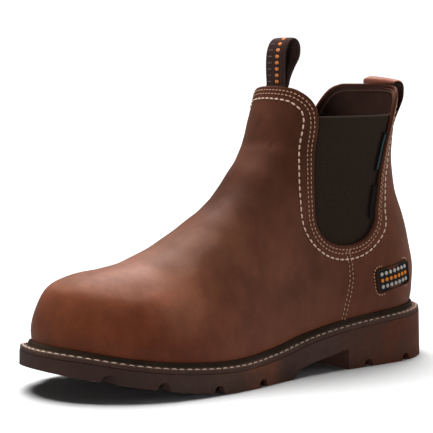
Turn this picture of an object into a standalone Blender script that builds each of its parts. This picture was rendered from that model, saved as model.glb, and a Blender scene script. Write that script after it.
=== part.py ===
"""Side gore work boot, left foot: sole on the floor, toe towards -Y, outer side towards +X.

The origin lies on the floor under the centre of the heel. All sizes are in metres.
"""
import math

import bmesh
import bpy
import numpy as np

UPPER_LENGTH = 0.292
BALL_WIDTH = 0.101
HEEL_WIDTH = 0.068
HEEL_TO_ORIGIN = 0.040
HEEL_SEAT_HEIGHT = 0.034
TREAD_SEAT_HEIGHT = 0.0158
TOE_SPRING = 0.013
INSTEP_HEIGHT = 0.100
SHAFT_HEIGHT = 0.200
SHAFT_WIDTH = 0.080
FEATHER_TUCK = 0.0026
FEATHER_TUCK_HEIGHT = 0.014
INSTEP_BLEND = 0.0205

WALL = 0.0026
GAP = 0.0003
GORE_THICKNESS = 0.0015
GORE_OVERLAP = 0.007
WELT_THICKNESS = 0.0027
SOLE_LEDGE = 0.0078
SOLE_FLARE = 0.0014
INSOLE_THICKNESS = 0.004
SHEET_REACH = 0.12
SEAT_REACH = (-0.05, 1.05, 34)

COLUMNS = 60
RISES = (0.0, 0.02, 0.05, 0.08, 0.12, 0.16, 0.20, 0.24, 0.285, 0.33, 0.375, 0.42,
         0.465, 0.51, 0.555, 0.60, 0.65, 0.70, 0.75, 0.80, 0.85, 0.90, 0.945, 1.0)

# station (0 heel, 1 toe), share of heel width, share of ball width, shift to the outer side in ball widths
OUTLINE = (
    (0.00, 0.98, 0.00, 0.000),
    (0.16, 1.00, 0.00, 0.004),
    (0.30, 0.82, 0.10, 0.018),
    (0.42, 0.45, 0.38, 0.042),
    (0.52, 0.20, 0.62, 0.058),
    (0.62, 0.00, 0.88, 0.056),
    (0.72, 0.00, 0.97, 0.028),
    (0.80, 0.00, 1.00, -0.006),
    (0.88, 0.00, 1.00, -0.040),
    (1.00, 0.00, 1.00, -0.090),
)
# share of the length that is rounded, inner exponent, outer exponent
HEEL_ROUND = (0.155, 2.0, 2.0)
TOE_ROUND = (0.225, 2.25, 2.0)

# station, height of the welt's edge: share of heel seat height, of tread seat height, of toe spring
SEAT = (
    (-0.05, 1.02, 0.00, 0.00),
    (0.00, 1.01, 0.00, 0.00),
    (0.14, 0.96, 0.00, 0.00),
    (0.28, 0.86, 0.00, 0.00),
    (0.40, 0.55, 0.35, 0.00),
    (0.52, 0.20, 0.72, 0.00),
    (0.64, 0.00, 1.00, 0.00),
    (0.76, 0.00, 1.00, 0.15),
    (0.88, 0.00, 1.00, 0.50),
    (1.00, 0.00, 1.00, 1.00),
    (1.05, 0.00, 1.00, 1.12),
)

# station, height of the ridge above the welt as a share of the instep height
RIDGE = (
    (0.00, 0.860),
    (0.30, 1.150),
    (0.40, 1.270),
    (0.48, 1.185),
    (0.56, 1.010),
    (0.64, 0.850),
    (0.72, 0.705),
    (0.80, 0.585),
    (0.90, 0.512),
    (1.00, 0.504),
)
RIDGE_TOE_ROUND = (0.14, 2.3, 2.0)
RIDGE_HEEL_ROUND = (0.22, 2.0, 1.6)
SECTION_SQUARE_SIDE = 2.5
SECTION_SQUARE_TOP = 2.1

# height above the welt as a share of the shaft, stations of the back, widest place and front, width share
SHAFT = (
    (0.00, 0.030, 0.16, 0.450, 0.810),
    (0.06, 0.006, 0.16, 0.520, 0.825),
    (0.14, -0.012, 0.16, 0.590, 0.835),
    (0.23, -0.004, 0.17, 0.582, 0.845),
    (0.33, 0.014, 0.19, 0.546, 0.860),
    (0.43, 0.040, 0.22, 0.514, 0.875),
    (0.54, 0.048, 0.25, 0.483, 0.890),
    (0.64, 0.042, 0.26, 0.452, 0.920),
    (0.76, 0.030, 0.25, 0.417, 0.966),
    (0.88, 0.024, 0.24, 0.386, 1.010),
    (1.00, 0.020, 0.24, 0.370, 1.040),
)
SHAFT_SQUARE = 2.25

# rise, spine's toe end: station, height share, tilt in degrees; spine's heel end: station, height share
FAN = (
    (0.00, 0.80, 0.000, 0.0, 0.14, 0.000),
    (0.08, 0.80, 0.050, 0.0, 0.14, 0.050),
    (0.16, 0.79, 0.075, 14.0, 0.14, 0.110),
    (0.24, 0.77, 0.085, 34.0, 0.15, 0.170),
    (0.34, 0.71, 0.090, 55.0, 0.16, 0.240),
    (0.44, 0.62, 0.105, 66.0, 0.18, 0.320),
    (0.54, 0.52, 0.150, 64.0, 0.20, 0.400),
    (0.64, 0.43, 0.250, 50.0, 0.22, 0.500),
    (0.76, 0.36, 0.450, 28.0, 0.23, 0.620),
    (0.88, 0.33, 0.680, 10.0, 0.23, 0.770),
    (1.00, 0.32, 0.910, 0.0, 0.23, 0.910),
)
FAN_AXIS_FADE = 0.08
RAY_REACH = 0.30
RAY_STEPS = 40

# height, front edge of the gore opening, its rear edge on the outer side, its rear edge on the inner side
OPENING = (
    (0.1060, -0.0669, -0.0112, -0.0150),
    (0.1200, -0.0666, -0.0072, -0.0135),
    (0.1350, -0.0656, -0.0018, -0.0118),
    (0.1500, -0.0641, 0.0044, -0.0100),
    (0.1695, -0.0618, 0.0140, -0.0078),
    (0.1760, -0.0628, 0.0168, -0.0050),
    (0.1820, -0.0658, 0.0205, 0.0000),
    (0.1870, -0.0700, 0.0250, 0.0050),
    (0.1900, -0.0735, 0.0292, 0.0100),
    (0.1915, -0.0770, 0.0325, 0.0150),
)
OPENING_BOTTOM_DEPTH = 0.0226
OPENING_BOTTOM_SQUARE = 2.2
OPENING_STEPS = 20
OPENING_TOP = 0.25
COLLAR_FRONT_HEIGHT = 0.1918
COLLAR_BACK_HEIGHT = 0.1912
GORE_TOP = 0.1705
GORE_TURNS = (48, 160)
GORE_RISES = (0.24, 0.90)

# places along the underside are stations, as above
SPRING_START = 0.6575
SPRING_END = 1.0275
SPRING_RISE = TOE_SPRING + 0.005
SPRING_POWER = 1.35
SPRING_BENDS = (0.8904, 0.7740, 0.7397, SPRING_START)
TOE_END = (1.130, 1.034, 0.990)
HEEL_END = -0.137
FORE_TREAD_END = 0.4726
BREAST = 0.2911
# station, height of the arch's underside
ARCH = (
    (0.2911, 0.0142),
    (0.3425, 0.0112),
    (0.4110, 0.0078),
    (0.4555, 0.0050),
)
GROOVES = (0.1027, 0.2295, 0.5753, 0.7075, 0.8401, 0.9418)
GROOVE_WIDTH = 0.0088
GROOVE_DEPTH = 0.0052
GROOVE_STEPS = 4
# channel: stations of its start and end, place to the outer side as a share of the ball width, width
CHANNELS = (
    (-0.0685, 0.2877, 0.188, 0.0050),
    (-0.0685, 0.2877, -0.188, 0.0050),
    (0.4760, 0.9726, 0.228, 0.0055),
    (0.4760, 0.9726, -0.168, 0.0055),
)
CHANNEL_DEPTH = 0.0028
CHANNEL_STEPS = 12
CHANNEL_FOOT = -0.02
PRISM_FOOT = -0.010
SOLE_PRISM_TOP = HEEL_SEAT_HEIGHT + 0.016
INSOLE_PRISM_TOP = HEEL_SEAT_HEIGHT + 0.026

# distance out from the upper, height above the welt's edge
WELT_SECTION = (
    (0.0003, -0.0027),
    (0.0003, 0.0000),
    (0.0003, 0.0034),
    (0.0016, 0.0034),
    (0.0031, 0.0022),
    (0.0038, 0.0003),
    (0.0073, 0.0000),
    (0.0078, -0.0006),
    (0.0080, -0.0027),
)

BADGE_CENTRE = (0.004, 0.0585)
BADGE_SIZE = (0.0355, 0.0172)
BADGE_CORNER = 0.004
BADGE_LEAN = math.radians(8)
BADGE_THICKNESS = 0.0010
BADGE_TURNS = (116, 152)
BADGE_RISES = (0.07, 0.29)

FRONT_LOOP_WIDTH = 0.0205
FRONT_LOOP_THICKNESS = 0.0018
# height, distance behind the collar's outer face, share of the collar's curve that it follows
FRONT_LOOP = (
    (0.1660, 0.0041, 1.0),
    (0.1780, 0.0041, 1.0),
    (0.1900, 0.0042, 1.0),
    (0.1980, 0.0041, 0.8),
    (0.2060, 0.0042, 0.6),
    (0.2135, 0.0050, 0.5),
    (0.2195, 0.0076, 0.4),
    (0.2222, 0.0114, 0.4),
    (0.2212, 0.0152, 0.4),
    (0.2168, 0.0174, 0.4),
    (0.2100, 0.0166, 0.5),
    (0.2030, 0.0122, 0.6),
    (0.1960, 0.0084, 0.8),
    (0.1900, 0.0067, 1.0),
    (0.1780, 0.0065, 1.0),
    (0.1660, 0.0065, 1.0),
)
REAR_LOOP_WIDTH = 0.030
REAR_LOOP_THICKNESS = 0.0018
# the strap sits a little inwards of the back's middle and dips to its outer side
REAR_LOOP_SHIFT = -0.002
REAR_LOOP_DIP = 0.12
# height, distance in front of the collar's outer face, share of the collar's curve that it follows
REAR_LOOP = (
    (0.1918, 0.0013, 1.0),
    (0.1930, 0.0014, 1.0),
    (0.1940, 0.0008, 1.0),
    (0.1946, -0.0008, 0.9),
    (0.1948, -0.0024, 0.9),
    (0.1944, -0.0042, 0.8),
    (0.1928, -0.0058, 0.8),
    (0.1890, -0.0068, 0.8),
    (0.1830, -0.0070, 0.8),
    (0.1770, -0.0058, 0.9),
    (0.1715, -0.0044, 1.0),
    (0.1660, -0.0028, 1.0),
    (0.1600, -0.0013, 1.0),
)
LOOP_COLUMNS = 5
WALL_SEARCH_TURN = 60
WALL_SEARCH_COLUMNS = 25
WALL_SEARCH_RISES = (0.60, 1.0, 24)

# name: colour, roughness
MATERIALS = {
    "brown leather": ((0.110, 0.042, 0.026), 0.55),
    "dark rubber": ((0.035, 0.022, 0.019), 0.70),
    "welt leather": ((0.130, 0.090, 0.066), 0.75),
    "dark elastic": ((0.016, 0.012, 0.010), 0.85),
    "black webbing": ((0.012, 0.010, 0.010), 0.80),
    "sock lining": ((0.045, 0.028, 0.020), 0.90),
    "patch": ((0.014, 0.012, 0.011), 0.60),
}


def smooth(rows, column, at):
    """Smooth curve through one column of a table, held level beyond its ends."""
    places = np.array([row[0] for row in rows])
    values = np.array([row[column] for row in rows])
    slopes = np.gradient(values, places)
    at = np.clip(at, places[0], places[-1])
    row = np.clip(np.searchsorted(places, at) - 1, 0, len(places) - 2)
    span = places[row + 1] - places[row]
    part = (at - places[row]) / span
    start = (2 * part**3 - 3 * part**2 + 1) * values[row]
    start_slope = (part**3 - 2 * part**2 + part) * span * slopes[row]
    end = (3 * part**2 - 2 * part**3) * values[row + 1]
    end_slope = (part**3 - part**2) * span * slopes[row + 1]
    return start + start_slope + end + end_slope


def rounding(distance, length, inner, outer):
    """Zero at the end of the foot, rising round to one at the given length from it."""
    left = np.clip(1 - distance / length, 0, 1)
    return np.maximum(1 - left**inner, 0) ** (1 / outer)


def station_to_y(station):
    return HEEL_TO_ORIGIN - station * UPPER_LENGTH


def y_to_station(y):
    return (HEEL_TO_ORIGIN - y) / UPPER_LENGTH


def half_breadth(station):
    """Half the foot's width at the welt."""
    half = (smooth(OUTLINE, 1, station) * HEEL_WIDTH + smooth(OUTLINE, 2, station) * BALL_WIDTH) / 2
    return half * rounding(station, *HEEL_ROUND) * rounding(1 - station, *TOE_ROUND)


def axis_x(station):
    """Middle of the foot, which curves inwards towards the toe."""
    return smooth(OUTLINE, 3, station) * BALL_WIDTH


def seat_height(station):
    """Height of the welt's edge above the floor."""
    heel = smooth(SEAT, 1, station) * HEEL_SEAT_HEIGHT
    tread = smooth(SEAT, 2, station) * TREAD_SEAT_HEIGHT
    return heel + tread + smooth(SEAT, 3, station) * TOE_SPRING


def ridge_height(station):
    """Height of the foot's top line above the welt."""
    height = smooth(RIDGE, 1, station) * INSTEP_HEIGHT
    return height * rounding(1 - station, *RIDGE_TOE_ROUND) * rounding(station, *RIDGE_HEEL_ROUND)


def foot_side(x, y, up):
    """Below zero inside the foot part of the last, above zero outside it."""
    station = y_to_station(y)
    tuck = FEATHER_TUCK * np.clip(1 - up / FEATHER_TUCK_HEIGHT, 0, 1) ** 2
    ends = rounding(np.minimum(station, 1 - station), 0.02, 2, 2)
    half = np.maximum(half_breadth(station) + FEATHER_TUCK * ends - tuck, 1e-5)
    height = np.maximum(ridge_height(station), 1e-5)
    across = (np.abs(x - axis_x(station)) / half) ** SECTION_SQUARE_SIDE
    value = across + (np.abs(up) / height) ** SECTION_SQUARE_TOP - 1
    return np.where((station < 0) | (station > 1), 1.0, value)


def shaft_side(x, y, up):
    """Below zero inside the shaft part of the last, above zero outside it."""
    station = y_to_station(y)
    level = up / SHAFT_HEIGHT
    back = smooth(SHAFT, 1, level)
    widest = smooth(SHAFT, 2, level)
    front = smooth(SHAFT, 3, level)
    half = smooth(SHAFT, 4, level) * SHAFT_WIDTH / 2
    ahead = (station - widest) / (front - widest)
    behind = (widest - station) / (widest - back)
    along = np.where(station > widest, ahead, behind)
    across = np.abs(x - axis_x(np.clip(station, 0, 0.16))) / half
    return np.abs(along) ** SHAFT_SQUARE + across**SHAFT_SQUARE - 1


def ray_length(side, origin, direction):
    """Distance from each origin to the surface of a body, zero where the origin is outside it."""
    near = np.zeros(origin.shape[:-1])
    far = np.full(origin.shape[:-1], RAY_REACH)
    inside = side(*np.moveaxis(origin, -1, 0)) < 0
    for _ in range(RAY_STEPS):
        middle = (near + far) / 2
        point = origin + middle[..., None] * direction
        outside = side(*np.moveaxis(point, -1, 0)) > 0
        far = np.where(outside, middle, far)
        near = np.where(outside, near, middle)
    return np.where(inside, near, 0.0)


def surface(turns, rises):
    """Grid of points on the upper's outer face: a row for each rise, a column for each turn.

    A turn of zero faces the toe, a quarter turn the outer side and a half turn the heel.
    """
    turn, rise = np.meshgrid(turns, rises)
    toe_station, toe_up, tilt, heel_station, heel_up = (smooth(FAN, column, rise) for column in range(1, 6))
    toward_toe = (1 + np.cos(turn)) / 2
    station = heel_station + (toe_station - heel_station) * toward_toe
    up = (heel_up + (toe_up - heel_up) * toward_toe) * SHAFT_HEIGHT
    fade = np.clip(1 - up / FAN_AXIS_FADE, 0, 1)
    origin = np.stack([axis_x(station) * fade, station_to_y(station), up], -1)
    lean = np.radians(tilt) * toward_toe
    level = np.cos(lean)
    direction = np.stack([np.sin(turn) * level, -np.cos(turn) * level, np.sin(lean)], -1)
    foot = ray_length(foot_side, origin, direction)
    shaft = ray_length(shaft_side, origin, direction)
    mix = np.clip(0.5 + (foot - shaft) / (2 * INSTEP_BLEND), 0, 1)
    reach = shaft + (foot - shaft) * mix + INSTEP_BLEND * mix * (1 - mix)
    point = origin + reach[..., None] * direction
    point[..., 2] += seat_height(y_to_station(point[..., 1]))
    return point


def layer(turns, rises, depth):
    """The upper's face moved inwards by a depth, or outwards where the depth is negative."""
    step = 1e-3
    turns = np.asarray(turns)
    rises = np.asarray(rises)
    point = surface(turns, rises)
    along_turn = surface(turns + step, rises) - surface(turns - step, rises)
    low = np.clip(rises - step, 0, 1)
    high = np.clip(rises + step, 0, 1)
    along_rise = surface(turns, high) - surface(turns, low)
    normal = np.cross(along_turn, along_rise)
    normal /= np.linalg.norm(normal, axis=-1, keepdims=True)
    return point - depth * normal


def ring_offset(ring, distance):
    """Move a closed ring of points outwards in plan."""
    along = np.roll(ring, -1, 0) - np.roll(ring, 1, 0)
    out = np.stack([-along[:, 1], along[:, 0], 0 * along[:, 0]], -1)
    out /= np.linalg.norm(out, axis=1, keepdims=True)
    centre = ring.mean(0)
    facing = np.sign(((ring - centre) * out).sum())
    return ring + facing * distance * out


def all_turns():
    return np.arange(COLUMNS) * 2 * math.pi / COLUMNS


def ring_at(up):
    """Ring round the foot at a small height above the welt's edge."""
    rise = up / (FAN[1][2] * SHAFT_HEIGHT) * FAN[1][0]
    return surface(all_turns(), np.array([rise]))[0]


def make_material(name):
    colour, roughness = MATERIALS[name]
    material = bpy.data.materials.new(name)
    material.use_nodes = True
    shader = material.node_tree.nodes["Principled BSDF"]
    shader.inputs["Base Color"].default_value = (*colour, 1)
    shader.inputs["Roughness"].default_value = roughness
    return material


def make_object(name, points, faces):
    mesh = bpy.data.meshes.new(name)
    mesh.from_pydata([tuple(point) for point in points], [], faces)
    body = bmesh.new()
    body.from_mesh(mesh)
    bmesh.ops.recalc_face_normals(body, faces=body.faces)
    body.to_mesh(mesh)
    body.free()
    obj = bpy.data.objects.new(name, mesh)
    bpy.context.scene.collection.objects.link(obj)
    return obj


def grid_faces(rows, columns, first, closed):
    """Quads of a grid whose points are numbered row by row from a first number."""
    faces = []
    for row in range(rows - 1):
        for column in range(columns if closed else columns - 1):
            following = (column + 1) % columns
            low = first + row * columns
            high = low + columns
            faces.append((low + column, low + following, high + following, high + column))
    return faces


def shell(name, outer, inner, closed):
    """Solid between two grids of points of the same size, open along its columns or closed round."""
    rows, columns = outer.shape[:2]
    count = rows * columns
    points = np.vstack([outer.reshape(-1, 3), inner.reshape(-1, 3)])
    faces = grid_faces(rows, columns, 0, closed) + grid_faces(rows, columns, count, closed)
    for row in (0, rows - 1):
        for column in range(columns if closed else columns - 1):
            start = row * columns + column
            end = row * columns + (column + 1) % columns
            faces.append((start, end, end + count, start + count))
    if not closed:
        for column in (0, columns - 1):
            for row in range(rows - 1):
                start = row * columns + column
                end = start + columns
                faces.append((start, end, end + count, start + count))
    return make_object(name, points, faces)


def ring_sweep(name, rings):
    """Closed ring whose section runs through several rings and back to the first."""
    columns = len(rings[0])
    points = np.vstack(rings + [rings[0]])
    faces = grid_faces(len(rings) + 1, columns, 0, True)
    last = len(rings) * columns
    faces = [tuple(index - last if index >= last else index for index in face) for face in faces]
    return make_object(name, points[:last], faces)


def prism(name, low, high):
    """Solid between two outlines with the same number of points."""
    count = len(low)
    faces = [tuple(range(count)), tuple(range(2 * count - 1, count - 1, -1))]
    for start in range(count):
        end = (start + 1) % count
        faces.append((start, end, end + count, start + count))
    return make_object(name, list(low) + list(high), faces)


def side_prism(name, outline, start, end):
    """Side view outline of (y, z) pairs carried across from one x to another."""
    low = [(start, y, z) for y, z in outline]
    high = [(end, y, z) for y, z in outline]
    return prism(name, low, high)


def combine(target, cutter, operation):
    """Cut or keep part of a target by a cutter, which is then removed."""
    modifier = target.modifiers.new(operation, "BOOLEAN")
    modifier.operation = operation
    modifier.solver = "EXACT"
    modifier.object = cutter
    graph = bpy.context.evaluated_depsgraph_get()
    mesh = bpy.data.meshes.new_from_object(target.evaluated_get(graph))
    target.modifiers.clear()
    target.data = mesh
    bpy.data.objects.remove(cutter)


def finish(obj, material):
    """Join doubled points, drop flat leftovers and give the piece its material."""
    body = bmesh.new()
    body.from_mesh(obj.data)
    bmesh.ops.remove_doubles(body, verts=body.verts, dist=2e-6)
    bmesh.ops.dissolve_degenerate(body, edges=body.edges, dist=2e-6)
    bmesh.ops.recalc_face_normals(body, faces=body.faces)
    body.to_mesh(obj.data)
    body.free()
    obj.data.materials.clear()
    obj.data.materials.append(material)


def opening_outline(rear_column, grow, top):
    """Side view outline of a gore opening, grown all round and cut level at a top height."""
    base = OPENING[0][0]
    heights = np.linspace(top, base, OPENING_STEPS)
    front = smooth(OPENING, 1, heights) - grow
    rear = smooth(OPENING, rear_column, heights) + grow
    middle = (front[-1] + rear[-1]) / 2
    half = (rear[-1] - front[-1]) / 2
    depth = OPENING_BOTTOM_DEPTH + grow
    power = 2 / OPENING_BOTTOM_SQUARE
    outline = list(zip(front, heights))
    for angle in np.linspace(0, math.pi, OPENING_STEPS)[1:-1]:
        along = math.copysign(abs(math.cos(angle)) ** power, math.cos(angle))
        outline.append((middle - half * along, base - depth * math.sin(angle) ** power))
    return outline + list(zip(rear, heights))[::-1]


def tread_height(station):
    """Height of the forefoot's underside, flat under the ball and rising to the toe."""
    share = np.clip((station - SPRING_START) / (SPRING_END - SPRING_START), 0, None)
    return SPRING_RISE * share**SPRING_POWER


def tread_point(station):
    """Point of the tread in side view."""
    return (station_to_y(station), tread_height(station))


def groove_outline(station):
    """Underside points of one groove, from its toe side to its heel side."""
    half = GROOVE_WIDTH / 2
    middle, top = tread_point(station)
    points = [tread_point(y_to_station(middle - half))]
    for angle in np.linspace(0, math.pi, GROOVE_STEPS + 2)[1:-1]:
        points.append((middle - half * 0.86 * math.cos(angle), top + GROOVE_DEPTH * math.sin(angle) ** 0.6))
    points.append(tread_point(y_to_station(middle + half)))
    return points


def sole_underside():
    """Side view of the sole's underside from beyond the toe to beyond the heel."""
    toe = [tread_point(station) for station in TOE_END]
    bends = [tread_point(station) for station in SPRING_BENDS]
    fore = [point for station in GROOVES if station > BREAST for point in groove_outline(station)]
    heel = [point for station in GROOVES if station < BREAST for point in groove_outline(station)]
    arch = [(station_to_y(station), height) for station, height in reversed(ARCH)]
    points = toe + sorted(fore + bends, key=lambda point: point[0])
    points += [(station_to_y(FORE_TREAD_END), 0.0), *arch, (station_to_y(BREAST), 0.0)]
    return points + sorted(heel, key=lambda point: point[0]) + [(station_to_y(HEEL_END), 0.0)]


def make_outsole():
    """Rubber unit: the flared outline of the sole kept between its underside and the welt."""
    feather = ring_at(0.0)
    top = ring_offset(feather, SOLE_LEDGE)
    bottom = ring_offset(feather, SOLE_LEDGE + SOLE_FLARE)
    top[:, 2] = SOLE_PRISM_TOP
    bottom[:, 2] = PRISM_FOOT
    sole = prism("outsole", bottom, top)
    under = sole_underside()
    edge = [under[-1][0], *station_to_y(np.linspace(*SEAT_REACH)), under[0][0]]
    over = [(y, seat_height(y_to_station(y)) - WELT_THICKNESS - GAP) for y in edge]
    combine(sole, side_prism("sole side view", under + over, -SHEET_REACH, SHEET_REACH), "INTERSECT")
    for start, end, place, width in CHANNELS:
        roof = [tread_point(station) for station in np.linspace(start, end, CHANNEL_STEPS)]
        outline = [(y, height + CHANNEL_DEPTH) for y, height in roof]
        outline += [(roof[-1][0], CHANNEL_FOOT), (roof[0][0], CHANNEL_FOOT)]
        middle = place * BALL_WIDTH
        channel = side_prism("channel", outline, middle - width / 2, middle + width / 2)
        combine(sole, channel, "DIFFERENCE")
    return sole


def make_welt():
    """Stitched ledge with a raised rib, which follows the foot of the upper."""
    rings = []
    for out, up in WELT_SECTION:
        ring = ring_at(max(up, 0.0) if out <= WELT_SECTION[3][0] else 0.0)
        ring = ring_offset(ring, out)
        ring[:, 2] = seat_height(y_to_station(ring[:, 1])) + up
        rings.append(ring)
    return ring_sweep("welt", rings)


def make_insole():
    """Board that closes the foot space, just inside the upper's wall."""
    plan = ring_offset(ring_at(0.0), -WALL - GAP)
    low = plan.copy()
    high = plan.copy()
    low[:, 2] = PRISM_FOOT
    high[:, 2] = INSOLE_PRISM_TOP
    insole = prism("insole", low, high)
    edge = station_to_y(np.linspace(*SEAT_REACH))[::-1]
    under = [(y, seat_height(y_to_station(y)) - WELT_THICKNESS) for y in edge]
    over = [(y, z + INSOLE_THICKNESS) for y, z in reversed(under)]
    combine(insole, side_prism("insole side view", under + over, -SHEET_REACH, SHEET_REACH), "INTERSECT")
    return insole


def make_upper():
    """Leather wall of the boot with its collar and two side openings."""
    turns = all_turns()
    foot = surface(turns, np.array([0.0]))[0]
    outer = layer(turns, RISES, 0.0)
    inner = layer(turns, RISES, WALL)
    inner[0] = ring_offset(foot, -WALL)
    low_outer = outer[0].copy()
    low_inner = inner[0].copy()
    low_outer[:, 2] -= WELT_THICKNESS
    low_inner[:, 2] -= WELT_THICKNESS
    upper = shell("upper", np.vstack([low_outer[None], outer]), np.vstack([low_inner[None], inner]), True)
    front, back = (sign * 2 * SHEET_REACH for sign in (-1, 1))
    over = 2 * SHAFT_HEIGHT
    top = [(front, COLLAR_FRONT_HEIGHT), (back, COLLAR_BACK_HEIGHT), (back, over), (front, over)]
    combine(upper, side_prism("collar", top, -SHEET_REACH, SHEET_REACH), "DIFFERENCE")
    for rear_column, start, end in ((2, 0.002, SHEET_REACH), (3, -SHEET_REACH, -0.002)):
        outline = opening_outline(rear_column, 0.0, OPENING[-1][0])
        outline = [(outline[0][0] - 0.004, OPENING_TOP)] + outline + [(outline[-1][0] + 0.004, OPENING_TOP)]
        combine(upper, side_prism("opening", outline, start, end), "DIFFERENCE")
    return upper


def make_gore(name, rear_column, side):
    """Elastic panel behind one opening, overlapping the leather all round below its level top."""
    turns = side * np.radians(np.linspace(*GORE_TURNS, 15))
    rises = np.linspace(*GORE_RISES, 15)
    depth = WALL + GAP
    gore = shell(name, layer(turns, rises, depth), layer(turns, rises, depth + GORE_THICKNESS), False)
    outline = opening_outline(rear_column, GORE_OVERLAP, GORE_TOP)
    start, end = sorted((0.0, side * SHEET_REACH))
    combine(gore, side_prism("gore outline", outline, start, end), "INTERSECT")
    return gore


def make_badge():
    """Rounded patch on the outer side of the heel."""
    turns = np.radians(np.linspace(*BADGE_TURNS, 9))
    rises = np.linspace(*BADGE_RISES, 6)
    badge = shell("heel_badge", layer(turns, rises, -GAP - BADGE_THICKNESS), layer(turns, rises, -GAP), False)
    half_length = BADGE_SIZE[0] / 2 - BADGE_CORNER
    half_height = BADGE_SIZE[1] / 2 - BADGE_CORNER
    outline = []
    for corner, (along, up) in enumerate(((1, 1), (-1, 1), (-1, -1), (1, -1))):
        for angle in np.linspace(0, math.pi / 2, 4) + corner * math.pi / 2:
            y = along * half_length + BADGE_CORNER * math.cos(angle)
            z = up * half_height + BADGE_CORNER * math.sin(angle)
            turned_y = y * math.cos(BADGE_LEAN) - z * math.sin(BADGE_LEAN)
            turned_z = y * math.sin(BADGE_LEAN) + z * math.cos(BADGE_LEAN)
            outline.append((BADGE_CENTRE[0] + turned_y, BADGE_CENTRE[1] + turned_z))
    combine(badge, side_prism("badge outline", outline, 0.0, SHEET_REACH), "INTERSECT")
    return badge


def collar_wall(facing):
    """Outer face of the collar at its front or back, a column of points for each direction."""
    spread = np.radians(np.linspace(-WALL_SEARCH_TURN, WALL_SEARCH_TURN, WALL_SEARCH_COLUMNS))
    return np.moveaxis(surface(facing + spread, np.linspace(*WALL_SEARCH_RISES)), 1, 0)


def wall_y(columns, x, height):
    """Place of the collar's outer face at one x and height."""
    across = np.array([np.interp(height, column[:, 2], column[:, 0]) for column in columns])
    along = np.array([np.interp(height, column[:, 2], column[:, 1]) for column in columns])
    order = np.argsort(across)
    return np.interp(x, across[order], along[order])


def make_loop(name, path, facing, width, thickness, shift, dip):
    """Strap that follows a path in side view and the collar's curve in plan."""
    inwards = 1 if facing == 0 else -1
    top = COLLAR_FRONT_HEIGHT if facing == 0 else COLLAR_BACK_HEIGHT
    columns = collar_wall(facing)
    centre = []
    for number, (height, behind, follow) in enumerate(path):
        lean = dip * math.sin(math.pi * number / (len(path) - 1))
        row = []
        for x in shift + np.linspace(-width / 2, width / 2, LOOP_COLUMNS):
            wall = wall_y(columns, x * follow, min(height, top))
            row.append((x, wall + inwards * behind, height - lean * (x - shift)))
        centre.append(row)
    centre = np.array(centre)
    along = np.gradient(centre[:, LOOP_COLUMNS // 2], axis=0)
    normal = np.stack([0 * along[:, 0], -along[:, 2], along[:, 1]], -1)
    normal /= np.linalg.norm(normal, axis=1, keepdims=True)
    half = normal[:, None] * thickness / 2
    return shell(name, centre + half, centre - half, False)


def main():
    for obj in list(bpy.data.objects):
        bpy.data.objects.remove(obj)
    paints = {name: make_material(name) for name in MATERIALS}
    finish(make_outsole(), paints["dark rubber"])
    finish(make_welt(), paints["welt leather"])
    finish(make_insole(), paints["sock lining"])
    finish(make_upper(), paints["brown leather"])
    finish(make_gore("gore_lateral", 2, 1), paints["dark elastic"])
    finish(make_gore("gore_medial", 3, -1), paints["dark elastic"])
    finish(make_badge(), paints["patch"])
    front = make_loop("pull_loop_front", FRONT_LOOP, 0, FRONT_LOOP_WIDTH, FRONT_LOOP_THICKNESS, 0, 0)
    finish(front, paints["black webbing"])
    rear = make_loop("pull_loop_rear", REAR_LOOP, math.pi, REAR_LOOP_WIDTH, REAR_LOOP_THICKNESS,
                     REAR_LOOP_SHIFT, REAR_LOOP_DIP)
    finish(rear, paints["brown leather"])


main()
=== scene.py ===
"""Side gore work boot, left foot: the looks of every surface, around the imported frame.

Metres, +Z up, toe towards -Y, outer side towards +X. The origin lies on the floor under the heel.
The shape tables and functions are the CAD source's own, so that each piece fits its solid.
"""
import math

import bmesh
import bpy
import numpy as np
from mathutils import Matrix, Vector
from mathutils.bvhtree import BVHTree
from mathutils.kdtree import KDTree


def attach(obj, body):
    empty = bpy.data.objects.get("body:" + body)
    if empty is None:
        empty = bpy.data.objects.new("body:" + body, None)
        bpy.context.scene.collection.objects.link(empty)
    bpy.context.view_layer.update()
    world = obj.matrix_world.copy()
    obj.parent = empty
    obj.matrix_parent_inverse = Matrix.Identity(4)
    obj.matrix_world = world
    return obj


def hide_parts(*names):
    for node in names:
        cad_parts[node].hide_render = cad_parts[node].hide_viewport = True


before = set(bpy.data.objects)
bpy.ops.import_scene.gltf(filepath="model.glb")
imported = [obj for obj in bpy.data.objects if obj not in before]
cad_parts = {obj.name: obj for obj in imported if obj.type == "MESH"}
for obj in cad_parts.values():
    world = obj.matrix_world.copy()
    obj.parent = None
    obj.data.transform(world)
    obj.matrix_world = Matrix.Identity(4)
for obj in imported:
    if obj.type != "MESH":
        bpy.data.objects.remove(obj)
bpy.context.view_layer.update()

# camera, fitted to the photograph's outline
CAMERA_AZIMUTH = math.radians(51.788)
CAMERA_PAN = math.radians(0.524)
CAMERA_PITCH = math.radians(5.262)
CAMERA_ROLL = math.radians(-0.145)
CAMERA_TARGET = (0.0, -0.110, 0.0)
CAMERA_REACH = 1.0402
CAMERA_HEIGHT = 0.200
CAMERA_LENS = 130.24
CAMERA_SENSOR = 36.0

WORLD_LIGHT = 0.05
WORLD_SEEN = 1.05
FLOOR_REACH = 12.0
FLOOR_SEEN = 0.62
FLOOR_BOUNCE = 0.22
# sun: name, direction towards it, angle across in degrees, strength, whether reflections show it
SUNS = (
    ("overhead", (-0.30, 0.02, 1.0), 44, 5.7, False),
    ("behind", (-0.62, 0.48, 1.0), 40, 1.9, True),
    ("fill", (0.60, -0.80, 0.0), 14, 1.74, False),
    ("beside", (0.45, 0.75, 0.03), 16, 1.80, False),
)

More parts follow.
